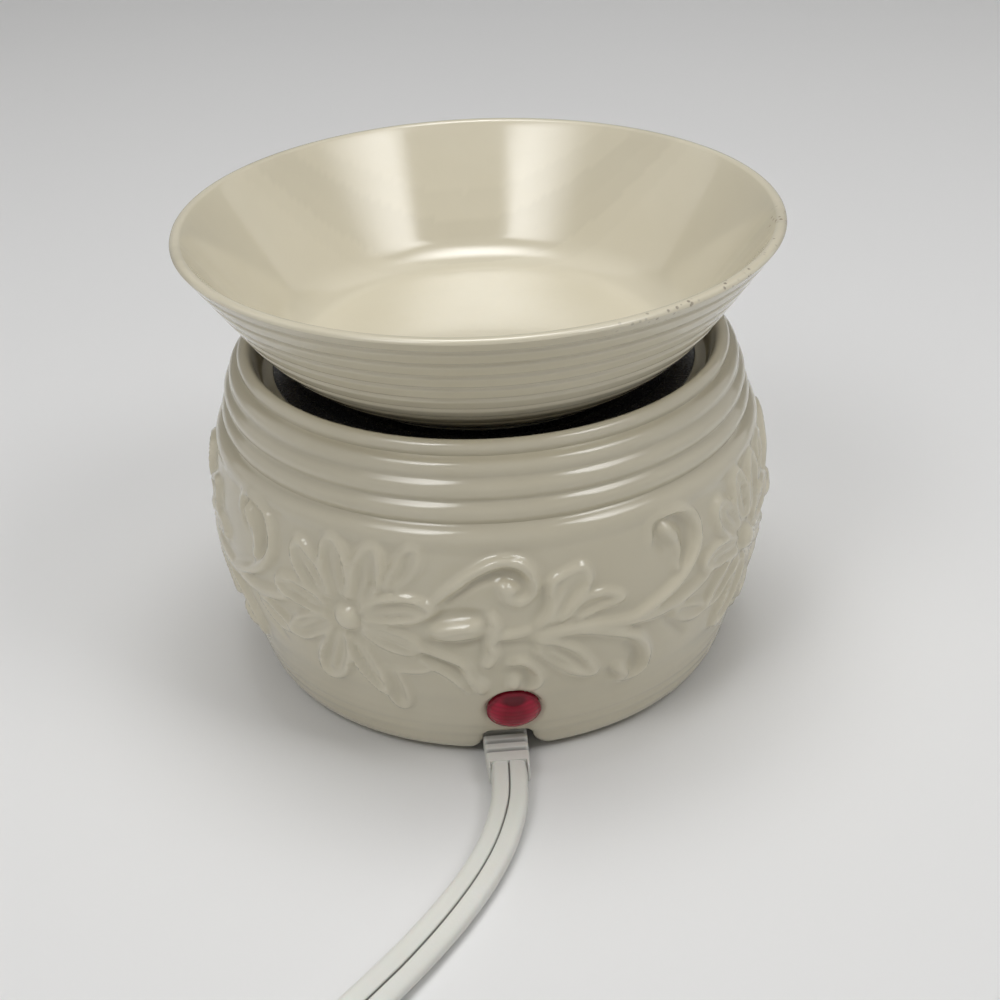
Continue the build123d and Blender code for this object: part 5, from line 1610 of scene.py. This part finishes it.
@dataclass(frozen=True)
class StrainRelief:
    """The ribbed block that holds the cord in the notch, in millimetres."""

    x: float = -2.0
    bottom: float = 0.5
    inner: float = 41.0
    outer: float = 69.0
    head: float = 4.6
    head_over: Point2 = (1.4, 0.8)
    head_edges: Point2 = (0.5, 0.4)
    recess: float = 1.8
    half_widths: Point2 = (5.5, 4.76)
    tops: Point2 = (6.6, 5.9)
    rib_start: float = 53.8
    rib_count: int = 4
    rib_pitch: float = 2.97
    rib_width: float = 1.35
    rib_depth: float = 0.8
    rib_edge: float = 0.15
    rib_lead: float = 0.12
    rib_slope: float = 0.25
    end_edge: float = 0.35
    end_inset: float = 0.3
    wall_inset: float = 0.05
    wall_lead: float = 0.6
    corner: float = 0.9
    corner_steps: int = 3
    top_corner: float = 0.55
    channel_half: float = 4.2
    channel_side: float = 0.3
    channel_gap: float = 0.05
    channel_floor: float = 1.3
    # Painted shade: darker in the rib grooves, and darker towards the notch, where the body's overhang shades
    # the block.
    groove_start: float = 0.1
    groove_fade: float = 0.6
    groove_shade: float = 0.75
    overhang_shade: float = 0.35
    overhang_shade_start: float = 3.5
    overhang_shade_fade: float = 8.0
    sharp: float = 30.0

    def _section(self, half: float, top: float, channel: bool) -> list[Point2]:
        """One cross-section, anticlockwise, with an open channel for the cord or without.

        Args:
            half: Half its width.
            top: How high its top is.
            channel: Whether its channel is open.

        Returns:
            Its points.
        """
        wall = min(self.channel_half, half - self.channel_side)
        edge = min(self.top_corner, half - wall - self.channel_gap)
        low, floor = self.bottom + self.corner, self.channel_floor if channel else top

        def rounded(x: float, z: float, size: float, quarter: int) -> list[Point2]:
            """A rounded corner, so many quarter turns on from the right."""
            first = quarter * math.pi / 2
            return arc((x, z), size, first, first + math.pi / 2, self.corner_steps)

        return [
            *rounded(-half + self.corner, low, self.corner, 2),
            *rounded(half - self.corner, low, self.corner, 3),
            *rounded(half - edge, top - edge, edge, 0),
            (wall, top), (wall, floor), (wall / 2, floor), (0.0, floor), (-wall / 2, floor), (-wall, floor),
            (-wall, top), *rounded(-half + edge, top - edge, edge, 1),
        ]

    def _at(self, place: float, inset: float = 0.0, channel: bool = False) -> Station:
        """The size of the block at a place along the cord."""
        share = (place - self.inner) / (self.outer - self.inner)
        return place, between(*self.half_widths, share) - inset, between(*self.tops, share) - inset, channel

    def _stations(self) -> list[Station]:
        """The block's cross-sections along the cord: its head, its ribs and its recessed end.

        Returns:
            The stations, from the inner end to the outer.
        """
        half, top = self.half_widths[0] + self.head_over[0], self.tops[0] + self.head_over[1]
        first, last = self.head_edges
        head_end = self.inner + self.head
        stations = [
            (self.inner, half - first, top - first, False), (self.inner + first, half, top, False),
            (head_end - last, half, top, False), (head_end, half - last, top - last, False),
            self._at(head_end), self._at(self.rib_start - self.rib_edge),
        ]
        for rib in range(self.rib_count):
            here = self.rib_start + rib * self.rib_pitch
            after = here + self.rib_width
            stations += [
                self._at(here, self.rib_lead), self._at(here + self.rib_slope, self.rib_depth),
                self._at(after - self.rib_slope, self.rib_depth), self._at(after, self.rib_lead),
                self._at(after + self.rib_edge),
            ]
            if rib < self.rib_count - 1:
                stations.append(self._at(here + self.rib_pitch - self.rib_edge))
        wall = self.outer - self.recess
        return stations + [
            self._at(wall - self.wall_lead), self._at(wall, self.wall_inset),
            self._at(wall, self.wall_inset, True),
            self._at(self.outer - self.end_edge, self.wall_inset, True),
            self._at(self.outer, self.end_inset, True),
        ]

    def build(self) -> bpy.types.Object:
        """Makes the block as a row of cross-sections along the cord.

        Returns:
            The block's piece, in place of the CAD block.
        """
        stations = self._stations()
        sections = [self._section(half, top, channel) for _, half, top, channel in stations]
        points = [
            (self.x + x, -station[0], z) for station, section in zip(stations, sections) for x, z in section
        ]
        count = len(sections[0])
        faces = tube_faces(len(stations), count)
        piece = new_piece("strain_relief_block", np.array(points), faces, RELIEF_VINYL, self.sharp)
        places, halves = (np.array([station[part] for station in stations]) for part in (0, 1))
        plain = np.array([self._at(place)[1] for place in places])
        wall = self.outer - self.recess
        ribbed = (places > self.inner + self.head) & (places < wall - 1)
        # Painted shade, stored as depth: in the rib grooves and under the body's overhang.
        dips = np.clip((plain - halves - self.groove_start) / self.groove_fade, 0, 1) * ribbed
        overhang_shade = self.overhang_shade * np.clip((wall - self.overhang_shade_start - places) / self.overhang_shade_fade, 0, 1)
        store(piece.data, "depth", np.repeat(np.maximum(self.groove_shade * dips, overhang_shade), count))
        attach(piece, "base")
        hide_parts("strain_relief")
        return piece


# Flat twin cord

@dataclass(frozen=True)
class CordSection:
    """The flat twin cord's cross-section, in millimetres."""

    width: float = 8.2
    thickness: float = 4.3
    squareness: float = 2.7
    lobe_steps: int = 17
    groove_depth: float = 0.8
    groove: tuple[Point2, ...] = ((0.0, 1.0), (0.12, 0.82), (0.24, 0.2), (0.4, 0.03), (0.7, 0.0))
    shade_half: float = 0.3
    shade_share: float = 0.35

    def points(self) -> list[Point2]:
        """The closed section: two lobes with flat tops and rounded sides, and a sharp groove between them.

        Returns:
            Its points, anticlockwise.
        """
        radius = self.thickness / 2
        middle = self.width / 2 - radius
        power = 2 / self.squareness
        right = [
            (middle + radius * math.cos(a) ** power, math.copysign(radius * abs(math.sin(a)) ** power, a))
            for a in np.linspace(-math.pi / 2, math.pi / 2, self.lobe_steps)
        ]
        dips = [(x, radius - self.groove_depth * share) for x, share in self.groove]
        flat = [*reversed(dips), *((-x, z) for x, z in dips[1:])]
        return [*right, *flat, *((-x, -z) for x, z in right), *((-x, -z) for x, z in flat)]

    def painted_shades(self) -> list[float]:
        """Whether each point of the section gets painted shade down in the groove, as 1 or 0."""
        lobe = self.thickness / 2 - self.shade_share * self.groove_depth
        return [float(abs(x) < self.shade_half and abs(z) < lobe) for x, z in self.points()]


@dataclass(frozen=True)
class FlatCord:
    """One free length of the flat cord, given by its route in metres.

    The rolls say how many degrees the cord is turned about its own line, at lengths along it.
    """

    name: str
    node_names: tuple[str, ...]
    route: tuple[Point3, ...]
    rolls: tuple[Point2, ...]
    length: float
    far_end: str
    stiffness: str
    lay: str
    fineness: int
    section: CordSection = CordSection()
    order: int = 3
    least_step: float = 1e-6
    sharp: float = 60.0

    def line(self) -> np.ndarray:
        """The points of the route's smooth NURBS line, in metres.

        Returns:
            The points, in order.
        """
        data = bpy.data.curves.new(self.name + "_route", "CURVE")
        data.dimensions = "3D"
        data.resolution_u = self.fineness
        spline = data.splines.new("NURBS")
        spline.points.add(len(self.route) - 1)
        for point, place in zip(spline.points, self.route):
            point.co = (*place, 1.0)
        spline.order_u = self.order
        spline.use_endpoint_u = True
        holder = linked(self.name + "_route", data)
        mesh = evaluated(holder)
        points = np.array([vertex.co for vertex in mesh.vertices], float)
        bpy.data.objects.remove(holder)
        bpy.data.meshes.remove(mesh)
        apart = np.linalg.norm(np.diff(points, axis=0), axis=1) > self.least_step
        return points[np.concatenate([[True], apart])]

    def build(self, with_pieces: Sequence[object] = ()) -> bpy.types.Object:
        """Makes the cord as a tube that follows its line and rolls as it goes.

        Args:
            with_pieces: The separate pieces on the cord, such as its plug. Not used.

        Returns:
            The cord's piece.
        """
        line = self.line()
        heading = headings(line)
        along = lengths_along(line)
        lengths, turns = zip(*self.rolls)
        rolls = np.radians(np.interp(along, lengths, turns))[:, None]
        side = np.cross(heading, [0.0, 0.0, 1.0])
        side /= np.linalg.norm(side, axis=1, keepdims=True)
        up = np.cross(side, heading)
        wide = (side * np.cos(rolls) + up * np.sin(rolls))[:, None, :]
        thin = (up * np.cos(rolls) - side * np.sin(rolls))[:, None, :]
        section = np.array(self.section.points())
        points = line[:, None, :] / MM + wide * section[None, :, :1] + thin * section[None, :, 1:]
        faces = tube_faces(len(line), len(section))
        piece = new_piece(self.name, points.reshape(-1, 3), faces, CORD_VINYL, self.sharp)
        # Painted shade along the groove between the cord's two lobes.
        store(piece.data, "depth", np.tile(self.section.painted_shades(), len(line)))
        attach(piece, "base")
        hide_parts(*self.node_names)
        LOG.info("%s: line %.4f m in %d points", self.name, along[-1], len(line))
        return piece


RUN_ROUTE: tuple[Point3, ...] = (
    (-0.0020, -0.0672, 0.0036), (-0.0022, -0.0742, 0.0036), (-0.0032, -0.0815, 0.0033),
    (-0.00615, -0.0910, 0.0028), (-0.0107, -0.1006, 0.0027), (-0.0168, -0.1106, 0.0029),
    (-0.0246, -0.1214, 0.0032), (-0.0339, -0.1328, 0.0038), (-0.0410, -0.1418, 0.0050),
    (-0.0465, -0.1507, 0.0050),
)
RUN_ROLLS: tuple[Point2, ...] = (
    (0.0, 0.0), (0.020, 0.0), (0.045, 12.0), (0.066, 24.0), (0.078, 24.0), (0.092, 3.0), (0.1, 0.0),
)
COIL_ROLLS: tuple[Point2, ...] = ((0.0, 0.0), (0.020, -90.0), (2.0, -90.0))


@dataclass(frozen=True)
class CoilPlan:
    """The put-away coil of the cord beside the switch, in millimetres.

    The reaches say how far from the coil's middle the cord crosses its across line, every half turn.
    """

    heading: Point2 = (-0.49828, -0.86702)
    link_start: Point2 = (-65.435, -183.647)
    link_length: float = 20.0
    link_shares: tuple[float, ...] = (0.0, 0.35, 0.7)
    lead_in: float = 8.2
    reaches: tuple[float, ...] = (
        48.0, 45.45, 42.9, 40.35, 37.8, 35.25, 32.7, 40.35, 42.9, 45.45, 48.0, 50.55,
    )
    low_halves: int = 5
    start_z: float = 5.0
    low_z: float = 4.35
    entry_lift: float = 0.3
    high_z: float = 12.85
    leave_lift: float = 0.4
    tail_z: float = 13.7
    tail: float = 27.0
    tail_share: float = 0.7
    per_half: int = 8
    tie_lift: float = 0.55
    tie_width: float = 0.45

    def route(self) -> tuple[Point3, ...]:
        """The coil's control points, with two halves to each turn, and its straight ends.

        Returns:
            The points, in metres.
        """
        along = Vector((*self.heading, 0.0))
        across = Vector((-along.y, along.x, 0.0))
        start = Vector((*self.link_start, 0.0))
        entry = start + along * (self.link_length + self.lead_in)
        centre = entry + across * self.reaches[0]
        half_step = math.pi / (2 * self.per_half)
        edge, stretch = math.tan(half_step), 1 / math.cos(half_step)
        low = start + Vector((0, 0, self.start_z))
        points = [low + along * (self.link_length * share) for share in self.link_shares]
        points.append(entry - along * (self.reaches[0] * edge) + Vector((0, 0, self.low_z + self.entry_lift)))
        for half, (here, after) in enumerate(zip(self.reaches, self.reaches[1:])):
            side = self._side(half)
            middle = centre + across * (side * (here - after) / 2)
            radius = (here + after) / 2 * stretch
            for step in range(self.per_half):
                turn = math.pi * (step + 0.5) / self.per_half
                place = middle + (across * math.cos(turn) * side - along * math.sin(turn) * side) * radius
                points.append(place + Vector((0, 0, self._height(half, turn))))
        last = self.reaches[-1]
        leave = centre + across * (self._side(len(self.reaches) - 1) * last)
        for away, height in (
            (last * edge, self.high_z + self.leave_lift), (self.tail * self.tail_share, self.tail_z),
            (self.tail, self.tail_z),
        ):
            points.append(leave - along * away + Vector((0, 0, height)))
        return tuple((p.x * MM, p.y * MM, p.z * MM) for p in points)

    @staticmethod
    def _side(half: int) -> int:
        """The side of the coil's middle on which a half turn starts."""
        return -1 if half % 2 == 0 else 1

    def _height(self, half: int, turn: float) -> float:
        """How high the cord's middle lies, so many half turns in and so far round the next.

        Args:
            half: How many half turns lie before it.
            turn: How far round the next it is, in radians.

        Returns:
            The height.
        """
        near_tie = math.exp(-(((turn - math.pi / 2) / self.tie_width) ** 2)) if half % 2 == 0 else 0.0
        share = min(1.0, max(0.0, half - self.low_halves + turn / math.pi))
        level = between(self.low_z, self.high_z, share * share * (3 - 2 * share))
        return level + self.tie_lift * near_tie


class Dressing:
    """Gives every CAD node that stays in view its finish."""

    WORN: tuple[tuple[Finish, tuple[str, ...]], ...] = (
        (ZINC, ("base_plate", "clamp_plate", "rod_nuts", "rod_washers", "tie_rod", "shield_spacer")),
        (ALUMINIUM, ("heat_shield", "heat_spreader")),
        (MICA, ("mica_former", "upper_mica_disc")),
        (RESISTANCE, ("resistance_ribbon",)),
        (TINNED, ("terminal_tabs", "wire_crimps", "thermal_fuse", "switch_screw")),
        (SPRING_STEEL, ("fuse_clip", "lens_push_nut")),
        (LAMP_GLASS, ("neon_lamp",)),
        (NYLON, ("lamp_holder",)),
        (SLEEVE, ("lamp_wires", "live_lead", "neutral_lead")),
        (CORE, ("cord_cores", "switch_cores")),
        (RUBBER, ("rubber_feet",)),
        (SWITCH_PLASTIC, ("switch_bottom", "switch_top")),
        (WHEEL_PLASTIC, ("switch_wheel",)),
        (BRASS, ("switch_contacts", "plug_blades")),
        (PLUG_VINYL, ("plug_body",)),
        (TIE_FABRIC, ("cord_tie",)),
    )

    def build(self) -> None:
        """Puts each finish on the material slots of its nodes."""
        for finish, names in self.WORN:
            for name in names:
                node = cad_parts[name]
                if not node.material_slots:
                    node.data.materials.append(finish.material())
                for place in node.material_slots:
                    place.material = finish.material()
                LOG.info("%s wears %s", name, finish.name)


# Studio

@dataclass(frozen=True)
class Lamp:
    """A soft square lamp, in metres and watts, that fades towards its left, right, low and high sides."""

    name: str
    place: Point3
    size: Point2
    power: float
    fades: tuple[float, float, float, float]
    aim: Point3 = (0.0, 0.0, 0.08)

    def build(self) -> None:
        """Hangs the lamp and fades its cloth towards its sides, each by a share of its width."""
        data = bpy.data.lights.new(self.name, "AREA")
        data.shape = "RECTANGLE"
        data.size, data.size_y = self.size
        data.energy = self.power
        data.use_nodes = True
        tree = NodeTree(data.node_tree)
        parts = tree.split(tree.add("ShaderNodeNewGeometry").outputs["Parametric"])
        left, right, low, high = self.fades
        glow = tree.map_range(parts["X"], (0.0, left), WHOLE, "SMOOTHSTEP")
        for axis, old, new in (
            ("X", (1.0 - right, 1.0), (1.0, 0.0)), ("Y", (0.0, low), WHOLE),
            ("Y", (1.0 - high, 1.0), (1.0, 0.0)),
        ):
            glow = tree.math("MULTIPLY", glow, tree.map_range(parts[axis], old, new, "SMOOTHSTEP"))
        tree.join(glow, data.node_tree.nodes["Emission"].inputs["Strength"])
        lamp = linked(self.name, data)
        lamp.location = self.place
        lamp.rotation_euler = (Vector(self.aim) - Vector(self.place)).to_track_quat("-Z", "Y").to_euler()


@dataclass(frozen=True)
class Studio:
    """A pale floor with a curved backdrop, soft lamps and the camera, in metres."""

    eye: Point3 = (-0.019316, -0.368575, 0.249356)
    right: Point3 = (0.99618859, -0.07962922, -0.03560179)
    up: Point3 = (0.07075856, 0.49907314, 0.86366615)
    ahead: Point3 = (0.05100516, 0.8628935, -0.50280542)
    lens: float = 61.2
    sensor: float = 36.0
    near: float = 0.01
    pale: Colour = (0.80, 0.80, 0.80)
    pale_tint: float = 0.985
    paper_scale: float = 3.0
    paper_detail: float = 3.0
    paper_roughness: float = 0.9
    paper_gloss: float = 0.1
    half_width: float = 2.6
    floor_ends: Point2 = (-2.2, 1.4)
    curve_radius: float = 0.5
    curve_start: float = 0.15
    curve_steps: int = 9
    wall_top: float = 2.4
    lamps: tuple[Lamp, ...] = (
        Lamp("left", (-0.540, -0.500, 0.96), (0.66, 0.66), 9.0, (0.8, 0.18, 0.4, 0.3)),
        Lamp("right", (0.655, -0.340, 0.96), (0.66, 0.66), 8.4, (0.18, 0.8, 0.4, 0.3)),
        Lamp("top", (0.02, 0.10, 1.25), (1.0, 0.8), 22.0, (0.45, 0.45, 0.45, 0.45)),
    )
    sky: Colour = (1.0, 0.985, 0.96)
    sky_lights: Point2 = (0.18, 0.85)

    def camera(self) -> None:
        """Places the camera where the photograph was taken from."""
        data = bpy.data.cameras.new("camera")
        data.lens = self.lens
        data.sensor_width = self.sensor
        data.clip_start = self.near
        camera = linked("camera", data)
        rows = zip(self.right, self.up, -Vector(self.ahead), self.eye)
        camera.matrix_world = Matrix([*[list(row) for row in rows], [0, 0, 0, 1]])
        bpy.context.scene.camera = camera

    def floor(self) -> None:
        """Makes the floor with its backdrop."""
        front, back = self.floor_ends
        radius = self.curve_radius
        curve = arc((back, radius), radius, self.curve_start - math.pi / 2, 0.0, self.curve_steps)
        profile = [(front, 0.0), (back, 0.0), *curve, (back + radius, self.wall_top)]
        points = [(x, y, z) for y, z in profile for x in (-self.half_width, self.half_width)]
        faces = [(2 * i, 2 * i + 1, 2 * i + 3, 2 * i + 2) for i in range(len(profile) - 1)]
        mesh = bpy.data.meshes.new("floor")
        mesh.from_pydata(points, [], faces)
        for face in mesh.polygons:
            face.use_smooth = True
        made = bpy.data.materials.new("paper")
        made.use_nodes = True
        tree = NodeTree(made.node_tree)
        shader = made.node_tree.nodes["Principled BSDF"].inputs
        place = tree.add("ShaderNodeTexCoord").outputs["Object"]
        cloud = tree.map_range(tree.noise(place, self.paper_scale, self.paper_detail), NOISE_RANGE, WHOLE)
        tree.join(tree.mix(cloud, toned(self.pale), toned(self.pale, self.pale_tint)), shader["Base Color"])
        shader["Roughness"].default_value = self.paper_roughness
        shader["Specular IOR Level"].default_value = self.paper_gloss
        mesh.materials.append(made)
        linked("floor", mesh)

    def world(self) -> None:
        """Sets the world's even light, and the paler backdrop that the camera and glossy pieces see."""
        world = bpy.data.worlds.new("studio")
        bpy.context.scene.world = world
        world.use_nodes = True
        tree = NodeTree(world.node_tree)
        background = world.node_tree.nodes["Background"].inputs
        rays = tree.add("ShaderNodeLightPath").outputs
        seen = tree.math("MAXIMUM", rays["Is Camera Ray"], rays["Is Glossy Ray"])
        seen = tree.math("MAXIMUM", seen, rays["Is Transmission Ray"])
        tree.join(tree.map_range(seen, WHOLE, self.sky_lights), background["Strength"])
        background["Color"].default_value = toned(self.sky)

    def build(self) -> None:
        """Sets up the floor, the lamps and the world."""
        self.floor()
        for lamp in self.lamps:
            lamp.build()
        self.world()
        bpy.context.scene.view_settings.view_transform = "Standard"


def main() -> None:
    """Builds the camera, the cords, every piece and the studio in order."""
    studio = Studio()
    studio.camera()
    FlatCord(
        "cord_to_switch", ("cord_run",), RUN_ROUTE, RUN_ROLLS, 0.0967, "fitting", "medium", "loose", 14,
    ).build(with_pieces=["switch_top", "switch_bottom"])
    FlatCord(
        "cord_coiled", ("cord_link", "cord_coil"), CoilPlan().route(), COIL_ROLLS, 1.5025, "plug", "medium",
        "coiled", 7,
    ).build(with_pieces=["plug_body", "plug_blades", "cord_tie"])
    for piece in (CeramicBody(), MeltingBowl(), HotPlate(), PilotLight(), StrainRelief()):
        piece.build()
    Dressing().build()
    studio.build()


if __name__ == "__main__":
    main()
